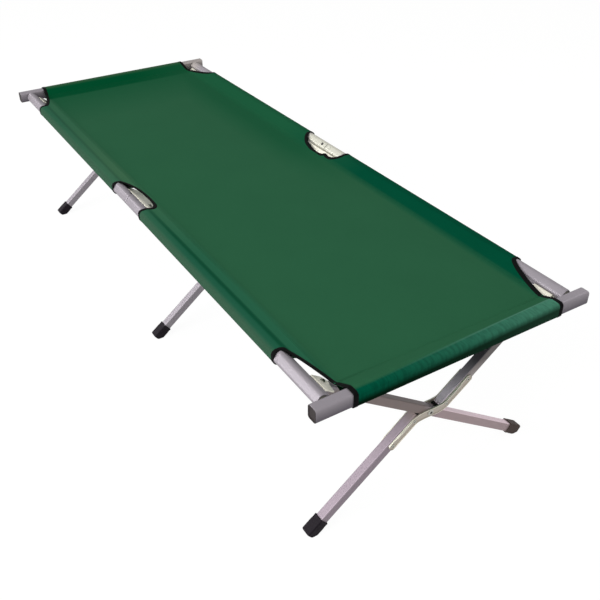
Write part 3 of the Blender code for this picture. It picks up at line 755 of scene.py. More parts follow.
for side in (left, right):
    for station, nose_y in leg_stations.items():
        low, high = bracket_arms(station, nose_y)
        half = u_profile(station)
        rows = []
        for j, (along, across) in enumerate(half + [(a, -b) for a, b in reversed(half)]):
            start, end = bracket_width(along, low, high, nose_y, station)
            row = [side.point(along, across, start + (end - start) * k / 16) for k in range(17)]
            rows.append([(point, (uv_step * j, uv_step * k)) for k, point in enumerate(row)])
        shape = bmesh.new()
        strip(shape, shape.loops.layers.uv.new("surface"), rows)
        bmesh.ops.remove_doubles(shape, verts=shape.verts, dist=merge_reach)
        bmesh.ops.dissolve_degenerate(shape, edges=shape.edges, dist=merge_reach / 10)
        bmesh.ops.recalc_face_normals(shape, faces=shape.faces)
        bracket = made_of(f"leg_bracket_{side.name}_{station}_pressing", shape)
        middle = len(bracket.data.polygons) // 2
        wall = bracket.modifiers.new("sheet", "SOLIDIFY")
        wall.thickness = bracket_sheet
        wall.offset = -1 if bracket.data.polygons[middle].normal.dot(side.down) < 0 else 1
        wall.use_even_offset = True
        edge = bracket.modifiers.new("edge", "BEVEL")
        edge.width = press_edge
        edge.segments = 2
        edge.limit_method = "ANGLE"
        edge.angle_limit = press_angle
        fitted(baked(bracket), plated, "zinc_plated_steel", side.body, f"leg_bracket_{side.name}_{station}")
        profile = domed(bracket_outer + gap, *leg_pin_sizes)
        origin = side.point(leg_pin_reach, 0, nose_y)
        pin = turned(f"leg_pin_{side.name}_{station}_turned", origin, side.up, profile)
        fitted(pin, pin_steel, "rivet_steel", side.body, f"leg_pin_{side.name}_{station}")


# Legs
# Each pair crosses like scissors. The left leg is one square aluminium tube, and
# the right one is cut at the crossing and carried past it by steel plates.
leg_half = 0.011
leg_corner = 0.003
leg_wall = 0.0015
leg_start = 0.0193
split_gap = 0.0235
cap_floor = 0.004
foot_side_shift = 2 * nest_offset


def leg_end(side, start_height):
    """Distance down a leg's middle line from a height to its end above the floor."""
    rest = start_height - leg_half * math.cos(side.slope) - cap_floor
    return rest / math.sin(side.slope)


whole_end = leg_end(left, rail_z)
lower_end = leg_end(right, rail_z + foot_side_shift * math.cos(right.slope))
rail_side_end = split_reach - split_gap
foot_side_start = split_reach + split_gap
for name, side, start, end, across in (
    ("leg_whole", left, leg_start, whole_end, 0),
    ("leg_upper", right, leg_start, rail_side_end, 0),
    ("leg_lower", right, foot_side_start, lower_end, foot_side_shift),
):
    for station, y in leg_stations.items():
        section = (side.up, along_y, leg_half, leg_half, leg_corner, leg_wall, 5)
        rings = tube_rings(side.point(start, across, y), side.point(end, across, y), *section)
        leg = skin(f"{name}_{station}_tube", rings, loop=True)
        fitted(leg, anodised, "satin_aluminium", side.body, f"{name}_{station}", sharp=50)

# Leg stops
# A black plastic stop closes each cut end of a split leg. It is wedge-shaped, so
# that the whole leg comes to rest against it when the cot is open.
stop_depth = 0.012
stop_play = 0.0008
stop_ease = 0.0006

# Black nylon: dull, with hardly a grain. The stops are black plastic, and their
# near-black also paints the shade in the gaps at the crossing.
nylon_and_gap_shade = ("#060506", "#121011")
stop_plastic, _ = speckled(
    "black_nylon", 700.0, 2.0, nylon_and_gap_shade, Roughness=0.5, IOR=1.53, Specular_IOR_Level=0.2
)


def stop_reach(across):
    """Distance from the crossing, along a split leg, at which a stop meets the whole leg."""
    clear = leg_half + stop_play + abs(across) * right.up.dot(left.up)
    return clear / abs(right.down.dot(left.up))


for station, y in leg_stations.items():
    parts = []
    for end_name, end_sign, cut_end in (("upper", -1, rail_side_end), ("lower", 1, foot_side_start)):
        shift = nest_offset * (1 + end_sign)
        inner = leg_half - leg_wall - gap
        rings = []
        for half, out in ((inner, -stop_depth), (inner, 0.0), (leg_half - stop_ease, gap)):
            outline = rounded(half, half, leg_corner - leg_wall, 4)
            origin = right.point(cut_end - end_sign * out, shift, y)
            rings.append(placed(outline, origin, right.up, along_y))
        for inset, back in ((0.0, stop_ease), (stop_ease, 0.0)):
            ring = []
            for across, out in rounded(leg_half - inset, leg_half - inset, leg_corner - inset, 4):
                reach = stop_reach(across + shift - nest_offset) + back
                ring.append(right.point(split_reach + end_sign * reach, across + shift, y + out))
            rings.append(ring)
        parts.append(skin(f"stop_{end_name}", rings))
    stops = joined(f"leg_stops_{station}_mouldings", parts)
    fitted(stops, stop_plastic, "dark_grey_plastic", "right_frame")

# Crossing plates
# Two S-shaped steel pressings clasp each split leg. A turned-up lip stiffens one
# edge of each straight part, and the boss in the middle turns on the crossing pin.
plate_sheet = 0.002
plate_half_width = 0.0092
plate_boss_half_width = 0.0135
plate_arm = 0.118
plate_bend = 0.040
plate_boss_reach = 0.018
plate_end_half_width = 0.001
plate_rim_width = 0.0012
plate_rim_height = 0.0016
plate_lip_height = 0.0034
far_rim_height = 0.0003
plate_lip_start = 0.034
plate_lip_end = 0.092
plate_lip_grow = 0.012
plate_lip_fade = 0.006
plate_rivet_end = 0.010
plate_rivet_split = 0.014
plate_edge_ease = 0.00035
plate_step = 0.001
pivot = Vector((0, 0, crossing_z))
cross_pin_reach = leg_half + plate_sheet + 2 * gap
cross_pin_sizes = (0.004, 0.0080, 0.0030)


def plate_middle(s):
    """Shift across the leg of the plate's middle line, s measured from the crossing."""
    return nest_offset * (1 - 2 * smooth((s + plate_bend) / (2 * plate_bend)))


def plate_half(s):
    """Half the plate's width, full round the pin and rounded at both ends."""
    boss = plate_boss_half_width - plate_half_width
    half = plate_half_width + boss * math.exp(-((s / plate_boss_reach) ** 2))
    short = max(plate_half_width - (plate_arm - abs(s)), 0)
    rounded_off = math.sqrt(max(plate_half_width**2 - short**2, 0))
    return min(half, rounded_off + plate_end_half_width)


def lip_height(s):
    """Height of the turned-up lip, which grows and fades along each straight part."""
    grow = smooth((abs(s) - plate_lip_start) / plate_lip_grow)
    fade = smooth((plate_lip_end - abs(s)) / plate_lip_fade)
    return plate_rim_height + (plate_lip_height - plate_rim_height) * grow * fade


def plate_stations():
    """Places along a plate, closer at its rounded ends."""
    ends = [plate_half_width * (1 - math.cos(math.pi / 2 * k / 8)) for k in range(9)]
    low = [k - plate_arm for k in ends]
    span = plate_arm - plate_half_width
    inner = [-span + 2 * span * k / 72 for k in range(1, 72)]
    return low + inner + [-k for k in reversed(low)]


def plate_section(s, face):
    """A plate's outline as (width, out), with a lip on one edge and a low rim on the other."""
    ease = plate_edge_ease
    half = plate_half(s)
    rim = min(plate_rim_width, half / 3)
    tall = plate_sheet + (lip_height(s) if face < 0 else far_rim_height)
    low = plate_sheet + (plate_rim_height if face < 0 else far_rim_height)
    back = [(-half, ease), (ease - half, 0), (half - ease, 0), (half, ease)]
    lip = [(half, tall - ease), (half - ease, tall), (half - rim + ease / 2, tall)]
    lip += [(half - rim, tall - ease), (half - rim - ease, plate_sheet + ease)]
    bed = [(half - rim - 2 * ease, plate_sheet), (rim + 2 * ease - half, plate_sheet)]
    edge = [(rim - half, low - ease), (rim - ease - half, low), (ease - half, low), (-half, low - ease)]
    return back + lip + bed + edge


def plate_rings(face, y):
    """Rings along a plate, square to its middle line."""
    rings = []
    for s in plate_stations():
        rise = (plate_middle(s + plate_step) - plate_middle(s - plate_step)) / (2 * plate_step)
        lean = math.hypot(1, rise)
        ring = []
        for width, out in plate_section(s, face):
            along = split_reach - s + width * rise / lean
            across = plate_middle(s) + width / lean + nest_offset
            ring.append(right.point(along, across, y + face * (leg_half + gap + out)))
        rings.append(ring)
    return rings


for station, y in leg_stations.items():
    # Each plate's recessed face is marked for painted shade.
    parts = [sunk(skin("plate", plate_rings(face, y)), 15, corners=(8, 9, 10, 11)) for face in (-1, 1)]
    plates = joined(f"crossing_plates_{station}_pressings", parts)
    fitted(plates, plated, "zinc_plated_steel", "right_frame", f"crossing_plates_{station}")
    profile = domed(cross_pin_reach, *cross_pin_sizes)
    pin = turned(f"crossing_pin_{station}_turned", pivot + y * along_y, along_y, profile)
    fitted(pin, pin_steel, "rivet_steel", "right_frame", f"crossing_pin_{station}")

# Rivets
# Hollow steel rivets fasten the plates to the legs and the brackets to the rails.
# One head is made and set at every place by a node group.
rivet_head_radius = 0.0044
rivet_head_height = 0.0022


def repeated(name, places, ways, pattern, finish):
    """Mesh with a copy of the pattern at each place, its Z turned to the way there."""
    mesh = bpy.data.meshes.new(name)
    mesh.from_pydata([tuple(p) for p in places], [], [])
    turn = mesh.attributes.new("way", "FLOAT_VECTOR", "POINT")
    turn.data.foreach_set("vector", [c for way in ways for c in way])
    piece = set_down(name, mesh)
    group = bpy.data.node_groups.new(name + "_spread", "GeometryNodeTree")
    for label, kind in (("Geometry", "Geometry"), ("Pattern", "Object"), ("Finish", "Material")):
        group.interface.new_socket(label, in_out="INPUT", socket_type="NodeSocket" + kind)
    group.interface.new_socket("Geometry", in_out="OUTPUT", socket_type="NodeSocketGeometry")
    given = add(group, "NodeGroupInput").outputs
    shape = add(group, "GeometryNodeObjectInfo", {"Object": given["Pattern"]}).outputs["Geometry"]
    way = add(group, "GeometryNodeInputNamedAttribute", {"Name": "way"}, data_type="FLOAT_VECTOR")
    facing = add(group, "FunctionNodeAlignRotationToVector", {"Vector": way}, axis="Z")
    inputs = {"Points": given["Geometry"], "Instance": shape, "Rotation": facing}
    spread = add(group, "GeometryNodeInstanceOnPoints", inputs)
    real = add(group, "GeometryNodeRealizeInstances", {"Geometry": spread})
    dressed = add(group, "GeometryNodeSetMaterial", {"Geometry": real, "Material": given["Finish"]})
    add(group, "NodeGroupOutput", {"Geometry": dressed})
    spreader = piece.modifiers.new("spread", "NODES")
    spreader.node_group = group
    for item in group.interface.items_tree:
        if item.name in ("Pattern", "Finish"):
            spreader[item.identifier] = pattern if item.name == "Pattern" else finish
    return baked(piece)


head_shares = ((0, 1.0), (0.0008, 1.0), (0.0017, 0.84), (rivet_head_height, 0.62))
head_shares += ((0.0018, 0.46), (0.0006, 0.34), (0.0006, 0.05))
head_profile = [(along, rivet_head_radius * share) for along, share in head_shares]
rivet_pattern = skin("rivet_pattern", lathed(Vector((0, 0, 0)), along_z, head_profile, 14))
# The rivet's hollow middle is marked for painted shade.
sunk(rivet_pattern, 14, rings=(5, 6))
split_rivets = (
    (split_reach - plate_arm + plate_rivet_end, 0),
    (rail_side_end - plate_rivet_split, 0),
    (foot_side_start + plate_rivet_split, foot_side_shift),
    (split_reach + plate_arm - plate_rivet_end, foot_side_shift),
)
for side in (left, right):
    heads = []
    for station, y in leg_stations.items():
        for along, across in split_rivets if side is right else ():
            for face in (-1, 1):
                out = y + face * (leg_half + plate_sheet + gap)
                heads.append((side.point(along, across, out), face * along_y))
        low, high = bracket_arms(station, y)
        for place_y in (low + web_rivet_inset, high - web_rivet_inset):
            heads.append((side.point(bracket_web + bracket_sheet, 0, place_y), side.down))
    rivets = repeated(f"rivets_{side.name}", *zip(*heads), rivet_pattern, pin_steel)
    fitted(rivets, pin_steel, "rivet_steel", side.body)
bpy.data.objects.remove(rivet_pattern, do_unlink=True)

# Rubber feet
# A black moulded cap covers each leg's end, with a bead round its mouth. It is
# cut level where it stands on the floor.
cap_half = 0.0138
cap_shown = 0.026
cap_drop = 0.010
cap_corner = 0.004
cap_chamfer = 0.003
cap_bead = 0.0003
cap_beads = ((0.0008, 0.0), (0.0034, 0.0), (0.0042, cap_bead), (0.0120, cap_bead), (0.0130, 0.0))
mouth_ease = 0.0006
mouth_round = 0.0008

# Black rubber: dull, with scuffs and dust that lighten it in soft patches. A grey
# is laid over the right feet.
dusty_black = ("#0F0B10", "#1E171F")
right_feet_grey = "#4A3F3B"
right_feet = (0.20, 0.25)
rubber, tint = speckled(
    "moulded_black_rubber",
    120.0,
    5.0,
    dusty_black,
    rough=(0.3, 0.7, 0.52, 0.75),
    relief=(0.3, 0.0004),
    IOR=1.52,
    Specular_IOR_Level=0.1,
)
tree = rubber.node_tree
place = add(tree, "ShaderNodeTexCoord").outputs["Object"]
out_right = add(tree, "ShaderNodeSeparateXYZ", {0: place}).outputs[0]
tint = tinted(tint, right_feet_grey, (out_right, *right_feet))
fill(tree.nodes["Principled BSDF"], {"Base Color": tint})

for name, side, end, across in (
    ("whole", left, whole_end, 0),
    ("split", right, lower_end, foot_side_shift),
):
    tip = rail_z + across * math.cos(side.slope) + cap_drop - cap_half * math.cos(side.slope)
    tip /= math.sin(side.slope)
    mouth = end - cap_shown
    bore = leg_half + gap
    steps = [(end + gap, bore, leg_corner), (mouth + mouth_ease, bore, leg_corner)]
    steps.append((mouth, bore + mouth_ease, leg_corner + mouth_ease))
    steps.append((mouth, cap_half - mouth_round, cap_corner))
    steps += [(mouth + along, cap_half - inset, cap_corner) for along, inset in cap_beads]
    for back, inset in ((1, 0), (1 / 3, 1 / 3), (0, 1)):
        steps.append((tip - back * cap_chamfer, cap_half - inset * cap_chamfer, cap_corner))
    for station, y in leg_stations.items():
        rings = []
        for along, half, corner in steps:
            outline = rounded(half, half, corner, 5)
            rings.append(placed(outline, side.point(along, across, y), side.up, along_y))
        cap = skin(f"foot_cap_{name}_{station}_moulding", rings)
        shape = bmesh.new()
        shape.from_mesh(cap.data)
        everything = shape.verts[:] + shape.edges[:] + shape.faces[:]
        bmesh.ops.bisect_plane(
            shape, geom=everything, plane_co=(0, 0, 0), plane_no=(0, 0, -1), clear_outer=True
        )
        bmesh.ops.holes_fill(shape, edges=[e for e in shape.edges if e.is_boundary])
        bmesh.ops.recalc_face_normals(shape, faces=shape.faces)
        shape.to_mesh(cap.data)
        shape.free()
        fitted(cap, rubber, "black_rubber", side.body, f"foot_cap_{name}_{station}")


# Bed cloth
# One cut of green polyester oxford is sewn back on itself at each side to make a
# sleeve for the rail, and at each end to make a pocket for the end bar. It is in
# two halves that meet on the middle line.
cloth_thickness = 0.0012
bed_z = 0.430
sleeve_end_y = 0.770
corner_x = 0.264
corner_rail_pull = 0.014
corner_bar_pull = 0.050
middle_cuts = {
    -1: (
        (-0.089, 0.0), (-0.0865, 0.015), (-0.078, 0.028), (-0.062, 0.037), (-0.035, 0.0405),
        (0.0, 0.040), (0.030, 0.037), (0.055, 0.031), (0.075, 0.020), (0.086, 0.009), (0.089, 0.0),
    ),
    1: (
        (-0.088, 0.0), (-0.086, 0.012), (-0.079, 0.025), (-0.066, 0.034), (-0.051, 0.0355),
        (-0.036, 0.033), (-0.024, 0.041), (-0.005, 0.0435), (0.018, 0.041), (0.044, 0.036),
        (0.068, 0.029), (0.087, 0.018), (0.097, 0.008), (0.100, 0.0),
    ),
}
edge_join_reach = 0.025
mouth_reach = 0.022
lap_run = 0.03
row_step = 0.008
column_step = 0.010
closest_rows = 0.0004
cut_steps = 24
hair = 1e-6
wing_shares = (0.12, 0.25, 0.38, 0.50, 0.60, 0.68, 0.75, 0.82, 0.88, 0.94, 1.0)
wave_height = 0.0010
calm_by_rail = 0.05
calm_by_bar = 0.06
pocket_rows = (0.0115, 0.0095)
cloth_merge = 0.00005


class Hull:
    """Cloth's middle surface round a rail or bar, sewn together at a seam inward of it."""

    def __init__(self, inset, lift, radius, seam):
        self.inset = inset
        self.lift = lift
        self.radius = radius
        self.seam = seam
        reach = math.hypot(seam - inset, lift)
        self.slope = math.atan2(lift, seam - inset) + math.asin(radius / reach)

    def height(self, inward):
        """Height of the upper layer over a distance inward of the middle."""
        if inward <= self.inset:
            return self.lift + self.radius
        leave = self.inset + self.radius * math.sin(self.slope)
        if inward < leave:
            return self.lift + math.sqrt(self.radius**2 - (inward - self.inset) ** 2)
        return max((self.seam - inward) * math.tan(self.slope), 0.0)

    def around(self):
        """Points (outward, up) round the outside, from the top to the underneath."""
        out, up, radius = self.inset, self.lift, self.radius
        turns = [math.pi / 2 * k / 6 for k in range(7)]
        upper = [(0.0, up + radius)]
        upper += [(out + radius * math.sin(turn), up + radius * math.cos(turn)) for turn in turns]
        return upper + [(out, -up) for out, up in reversed(upper)]


rail_hull = Hull(0.005, 0.005, 0.0105, 0.0468)
bar_hull = Hull(0.007, 0.010, 0.0075, 0.0485)
rail_seam_x = rail_x - rail_hull.seam
bar_seam_y = bar_y - bar_hull.seam


def corner_edge(steps):
    """Edge of a corner cut in plan, from the rail to the end bar."""
    a = Vector((rail_x, sleeve_end_y))
    b = a - Vector((corner_rail_pull, 0))
    d = Vector((corner_x, bar_y))
    c = d - Vector((0, corner_bar_pull))
    points = []
    for k in range(steps + 1):
        t = smooth(k / steps)
        u = 1 - t
        points.append(u**3 * a + 3 * u * u * t * b + 3 * u * t * t * c + t**3 * d)
    return points


def middle_edge(sign, steps):
    """Edge of a side's middle cut in plan, from its foot end to its head end.

    It is a smooth curve through the cut's (place along, depth) marks.
    """
    marks = [Vector((rail_x - depth, y)) for y, depth in middle_cuts[sign]]
    marks = [2 * marks[0] - marks[1], *marks, 2 * marks[-1] - marks[-2]]
    line = []
    for a, b, c, d in zip(marks, marks[1:], marks[2:], marks[3:]):
        for k in range(12):
            t = k / 12
            bend = (2 * a - 5 * b + 4 * c - d) * t**2 + (3 * b - a - 3 * c + d) * t**3
            line.append((2 * b + (c - a) * t + bend) / 2)
    line.append(marks[-2])
    run = run_along(line)
    spots = np.linspace(0, run[-1], steps + 1)
    xs = np.interp(spots, run, [p.x for p in line])
    ys = np.interp(spots, run, [p.y for p in line])
    return [Vector((float(x), float(y))) for x, y in zip(xs, ys)]


def cut_ends(sign):
    """Foot and head ends of a side's middle cut."""
    return middle_cuts[sign][0][0], middle_cuts[sign][-1][0]


fine_corner = corner_edge(200)
fine_middle = {sign: middle_edge(sign, 200) for sign in (-1, 1)}


def edge_x(y, sign):
    """How far out the cloth of a side reaches at a place along the cot."""
    foot_end, head_end = cut_ends(sign)
    if foot_end < y < head_end:
        return float(np.interp(y, [p.y for p in fine_middle[sign]], [p.x for p in fine_middle[sign]]))
    if abs(y) > sleeve_end_y:
        return float(np.interp(abs(y), [p.y for p in fine_corner], [p.x for p in fine_corner]))
    return rail_x


def waves(x, y):
    """Soft unevenness of the stretched cloth, alike on both sides of the middle line."""
    x = abs(x)
    calm = smooth((rail_x - x) / calm_by_rail) * smooth((bar_y - abs(y)) / calm_by_bar)
    broad = noise.noise(Vector((x * x * 9, y * 2.4, 3.1)))
    long = noise.noise(Vector((x * x * 30, y * 1.1, 8.4)))
    return wave_height * calm * (broad + 0.6 * long)


def layer_height(x, y):
    """Height of a slack layer over the plane of the seams, round rail and bar."""
    rail = rail_hull.height(rail_x - abs(x))
    bar = bar_hull.height(bar_y - abs(y))
    return (rail**4 + bar**4) ** 0.25


def upper_height(x, y, sign=1):
    """Middle surface of the upper layer above the plane of the seams."""
    return layer_height(x, y) + waves(x, y)


def lower_height(x, y, sign):
    """Middle surface of the under layer, drawn up to the upper one along a cut."""
    foot_end, head_end = cut_ends(sign)
    apart = -layer_height(x, y) - cloth_thickness
    if abs(y) < sleeve_end_y and not foot_end < y < head_end:
        return apart
    mouth = min(abs(y - foot_end), abs(y - head_end), abs(abs(y) - sleeve_end_y), abs(bar_y - abs(y)))
    near = smooth(1 - (edge_x(y, sign) - abs(x)) / edge_join_reach) * smooth(mouth / mouth_reach)
    return apart + (upper_height(x, y) - cloth_thickness - apart) * near


def row_places(sign):
    """Places along the cot of the rows of a side's cloth, closer at the cuts."""
    rows = [0.0]
    for end_sign, cut_end in zip((-1, 1), cut_ends(sign)):
        half = [abs(p.y) for p in middle_edge(sign, 2 * cut_steps) if end_sign * p.y > closest_rows]
        span = sleeve_end_y - abs(cut_end)
        steps = round(span / row_step)
        half += [abs(cut_end) + span * k / steps for k in range(1, steps)]
        half += [p.y for p in corner_edge(cut_steps)]
        half += [bar_seam_y, *(bar_y - back for back in (*pocket_rows, bar_hull.inset))]
        half = sorted(set(half))
        rows += [end_sign * y for y, after in zip(half, half[1:] + [9]) if after - y > closest_rows]
    return sorted(rows)


def column_places(reach):
    """Distances out from the middle line of the columns of cloth, up to an edge."""
    steps = round(rail_seam_x / column_step)
    places = [rail_seam_x * k / steps for k in range(steps + 1)]
    return places + [rail_seam_x + (reach - rail_seam_x) * k for k in wing_shares]


def half_cloth(sign):
    """The cloth on one side of the middle line, before it has its thickness."""
    shape = bmesh.new()
    layer = shape.loops.layers.uv.new("surface")
    rows = row_places(sign)
    foot_end, head_end = cut_ends(sign)
    wrap = rail_hull.around()
    wrap_run = run_along(wrap)

    def spot(x, y, up, u=None, v=None):
        """A point of this side above the seams, and its place on the flat cloth."""
        return Vector((sign * x, y, bed_z + up)), (sign * (x if u is None else u), y if v is None else v)

    upper, outer, under = [], [], []
    for y in rows:
        places = column_places(edge_x(y, sign))
        upper.append([spot(x, y, upper_height(x, y)) for x in places])
        sleeved = abs(y) <= sleeve_end_y + hair and not foot_end + hair < y < head_end - hair
        sleeve = [spot(rail_x + out, y, up, u=rail_x + run) for (out, up), run in zip(wrap, wrap_run)]
        outer.append(sleeve if sleeved else None)
        row = []
        for x in places:
            if x >= rail_seam_x - hair:
                drop = lower_height(x, y, sign) + cloth_thickness * smooth((x - rail_seam_x) / lap_run)
                row.append(spot(x, y, drop, u=2 * rail_x + wrap_run[-1] - x))
        under.append(row)
    for part in (upper, outer, under):
        strip(shape, layer, part)

    around = bar_hull.around()
    run = run_along(around)
    for end_sign in (-1, 1):
        front = []
        for (out, up), length in zip(around, run):
            y, v = end_sign * (bar_y + out), end_sign * (bar_y + length)
            front.append([spot(x, y, up, v=v) for x in column_places(corner_x)])
        strip(shape, layer, front)
        back = []
        for y in rows:
            if end_sign * y >= bar_seam_y - hair:
                drop = cloth_thickness * smooth((abs(y) - bar_seam_y) / lap_run)
                drop -= bar_hull.height(bar_y - abs(y)) + cloth_thickness
                v = end_sign * (2 * bar_y + run[-1] - abs(y))
                places = [x for x in column_places(edge_x(y, sign)) if x <= rail_seam_x + hair]
                back.append([spot(x, y, drop, v=v) for x in places])
        strip(shape, layer, back)

    bmesh.ops.remove_doubles(shape, verts=shape.verts, dist=cloth_merge)
    bmesh.ops.recalc_face_normals(shape, faces=shape.faces)
    on_top = Vector((sign * 0.1, 0.3, 0.44))
    top = min(shape.faces, key=lambda face: (face.calc_center_median() - on_top).length)
    if top.normal.z < 0:
        bmesh.ops.reverse_faces(shape, faces=shape.faces)
    area = sum(face.calc_area() for face in shape.faces)
    return made_of("bed_cloth_left" if sign < 0 else "bed_cloth_right", shape), area


# Green polyester oxford: a plain weave of thick threads with a thin coating
# behind. The threads are 0.5 mm and are drawn at 1.2 mm so that they show.
single_greens = ("#245339", "#2D6143")
# The double greens are painted shade where the cloth is sewn double.
double_shade_greens = ("#003C29", "#014A33")
thread_pitch = 0.0012
thread_run = 0.020
cloud_depth = 0.35
oxford, tree, shader = new_finish(
    "green_oxford_polyester", Roughness=0.7, IOR=1.45, Specular_IOR_Level=0.01
)
surface = add(tree, "ShaderNodeUVMap", uv_map="surface").outputs[0]
warp = streaks(surface, (1 / thread_pitch, 1 / thread_run, 1), 2.0)
weft = streaks(surface, (1 / thread_run, 1 / thread_pitch, 1), 2.0)
squares = {"Vector": surface, "Scale": 1 / thread_pitch, "Color1": (1, 1, 1, 1), "Color2": (0, 0, 0, 1)}
over = add(tree, "ShaderNodeTexChecker", squares).outputs["Fac"]
thread = add(tree, "ShaderNodeMix", {0: over, 2: warp, 3: weft}).outputs[0]
cloud = add(tree, "ShaderNodeTexNoise", {"Vector": surface, "Scale": 7.0, "Detail": 3.0})
depth = add(tree, "ShaderNodeMix", {0: cloud_depth, 2: thread, 3: cloud}).outputs[0]
single, double = (
    add(tree, "ShaderNodeMix", {0: depth, 6: linear(deep), 7: linear(pale)}, data_type="RGBA").outputs[2]
    for deep, pale in (single_greens, double_shade_greens)
)
out_right, toward_head, _ = add(tree, "ShaderNodeSeparateXYZ", {0: surface}).outputs

# Puckers beside the seams, where the thread draws the two layers together.
pucker_pitch = 0.011
pucker_reach = 0.012
pucker_length = 0.125
fold_y = bar_y - 0.001
beside = []
for across, line, pitches in (
    (out_right, rail_seam_x, (pucker_length, pucker_pitch)),
    (toward_head, fold_y, (pucker_pitch, pucker_length)),
):
    to_side = add(tree, "ShaderNodeMath", (across,), operation="ABSOLUTE")
    ripple = streaks(surface, (1 / pitches[0], 1 / pitches[1], 1), 1.0)
    beside.append(zone((away(to_side, line), 0.0, pucker_reach, 1.0, 0.0), ripple))
puckers = add(tree, "ShaderNodeMath", beside, operation="ADD")
weave = add(tree, "ShaderNodeBump", {"Height": thread, "Strength": 0.35, "Distance": 0.0003})
relief = {"Height": puckers, "Strength": 0.8, "Distance": 0.0016, "Normal": weave}
fill(shader, {"Normal": add(tree, "ShaderNodeBump", relief)})

# The stretched cloth is even, with a little painted shade towards the head and along
# the right rail's head half. Each zone's edges are where it starts and is full,
# across the cot (x) or along it (y), and some add the two shares there.
shaded_green = "#1A5336"
deeper_y = (0.60, 0.84)
deeper_x = (0.13, 0.22)
head_half_y = (-0.25, 0.05)
head_shade = add(tree, "ShaderNodeMapRange", (toward_head, *deeper_y))
right_shade = zone((out_right, *deeper_x), (toward_head, *head_half_y))
deeper = add(tree, "ShaderNodeMath", (head_shade, right_shade), operation="MAXIMUM")
bed = {0: deeper, 6: single, 7: linear(shaded_green)}
bed = add(tree, "ShaderNodeMix", bed, data_type="RGBA").outputs[2]

# No light comes through the cloth from below where it is sewn double, and that
# shade is painted: the right sleeve is painted deeper and bluer. The left sleeve is
# painted pale, as lit, most of all beside the middle cut, with a painted dark crease
# along the rail's foot half and painted shade on its outer wall.
wing_lit_greens = ("#2C6B4E", "#437353")
top_lit_greens = ("#1F5640", "#37634A")
wall_shade_green = "#2E4B3A"
crease_shade_green = "#0C4E34"
crease_x = -0.299
crease_width = (0.003, 0.009, 1.0, 0.0)
crease_y = (-0.25, 0.0, 0.8, 0.0)
right_sleeve_x = (0.250, 0.275)
right_sleeve_y = (-0.2, 0.2, 1.0, 0.1)
left_sleeve_x = (-0.255, -0.272)
sleeve_top_x = (-0.290, -0.300)
sleeve_wall_x = (-0.314, -0.324)
to_middle_y = (-0.35, 0.15)
past_middle_y = (0.2, 0.6, 1.0, 0.45)
bed = tinted(bed, double, (out_right, *right_sleeve_x), (toward_head, *right_sleeve_y))
beside_cut = zone((toward_head, *to_middle_y), (toward_head, *past_middle_y))
wing, top = (
    add(tree, "ShaderNodeMix", {0: beside_cut, 6: linear(far), 7: linear(near)}, data_type="RGBA").outputs[2]
    for far, near in (wing_lit_greens, top_lit_greens)
)
# Painted light on the left sleeve, with its painted crease and wall shade.
pale = tinted(wing, top, (out_right, *sleeve_top_x))
pale = tinted(pale, crease_shade_green, (away(out_right, crease_x), *crease_width), (toward_head, *crease_y))
pale = tinted(pale, wall_shade_green, (out_right, *sleeve_wall_x))
bed = tinted(bed, pale, (out_right, *left_sleeve_x))

# Painted light and shade on the foot pocket: its flat top is painted paler towards
# the right, with painted shade in its puckers. Its inner fold has a painted
# highlight and its front is painted dark as shade; both lie lower at the left.
pocket_painted_light_greens = ("#004D38", "#427963")
front_shade_greens = ("#001A0C", "#1C3A2B")
ridge_highlight_green = "#4C7D69"
ridge_y = 0.9215
ridge_width = (0.0008, 0.0034, 1.0, 0.0)
ticks_per_metre = (150, 34, 1)
tick_levels = (0.38, 0.60, 0.84, 1.07)
top_lean = (-0.215, 0.24, 0.0185, 0.001)
front_lean = (-0.215, 0.24, 0.0125, 0.0)
top_y = (0.9175, 0.9245)
front_y = (0.947, 0.960)
whole_width = (-0.25, 0.25)
late_growth = 1.6
grown = add(tree, "ShaderNodeMapRange", (out_right, *whole_width))
paler = add(tree, "ShaderNodeMath", (grown, late_growth), operation="POWER")
toward_foot = add(tree, "ShaderNodeMath", (toward_head, -1.0), operation="MULTIPLY")
leaned = (add(tree, "ShaderNodeMapRange", (out_right, *lean)) for lean in (top_lean, front_lean))
top_place, front_place = (
    add(tree, "ShaderNodeMath", (toward_foot, lean), operation="SUBTRACT").outputs[0] for lean in leaned
)
# The ticks paint shade into the puckers of the flat top.
ticks = add(tree, "ShaderNodeMapRange", (streaks(surface, ticks_per_metre, 2.0), *tick_levels))
flat_top, front = (
    add(tree, "ShaderNodeMix", {0: paler, 6: linear(deep), 7: linear(pale)}, data_type="RGBA").outputs[2]
    for deep, pale in (pocket_painted_light_greens, front_shade_greens)
)
flat_top = {0: flat_top, "Scale": ticks}
flat_top = add(tree, "ShaderNodeVectorMath", flat_top, operation="SCALE").outputs[0]
pocket = tinted(flat_top, front, (front_place, *front_y))
bed = tinted(bed, pocket, (top_place, *top_y))
bed = tinted(bed, ridge_highlight_green, (away(top_place, ridge_y), *ridge_width), paler)

# The head pocket is painted deep green, as shade, as far as its seam, and its top edge has a painted
# highlight.
head_pocket_shade_green = "#004829"
head_ridge_highlight = "#36583E"
head_pocket_y = (0.852, 0.866)
head_pocket_x = (0.05, 0.25, 1.0, 0.45)
head_ridge_y = (0.920, 0.938)
bed = tinted(bed, head_pocket_shade_green, (toward_head, *head_pocket_y), (out_right, *head_pocket_x))
fill(shader, {"Base Color": tinted(bed, head_ridge_highlight, (toward_head, *head_ridge_y))})


def follow_rail(piece):
    """Bake a soft piece's placing into its mesh."""
    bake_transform(piece)


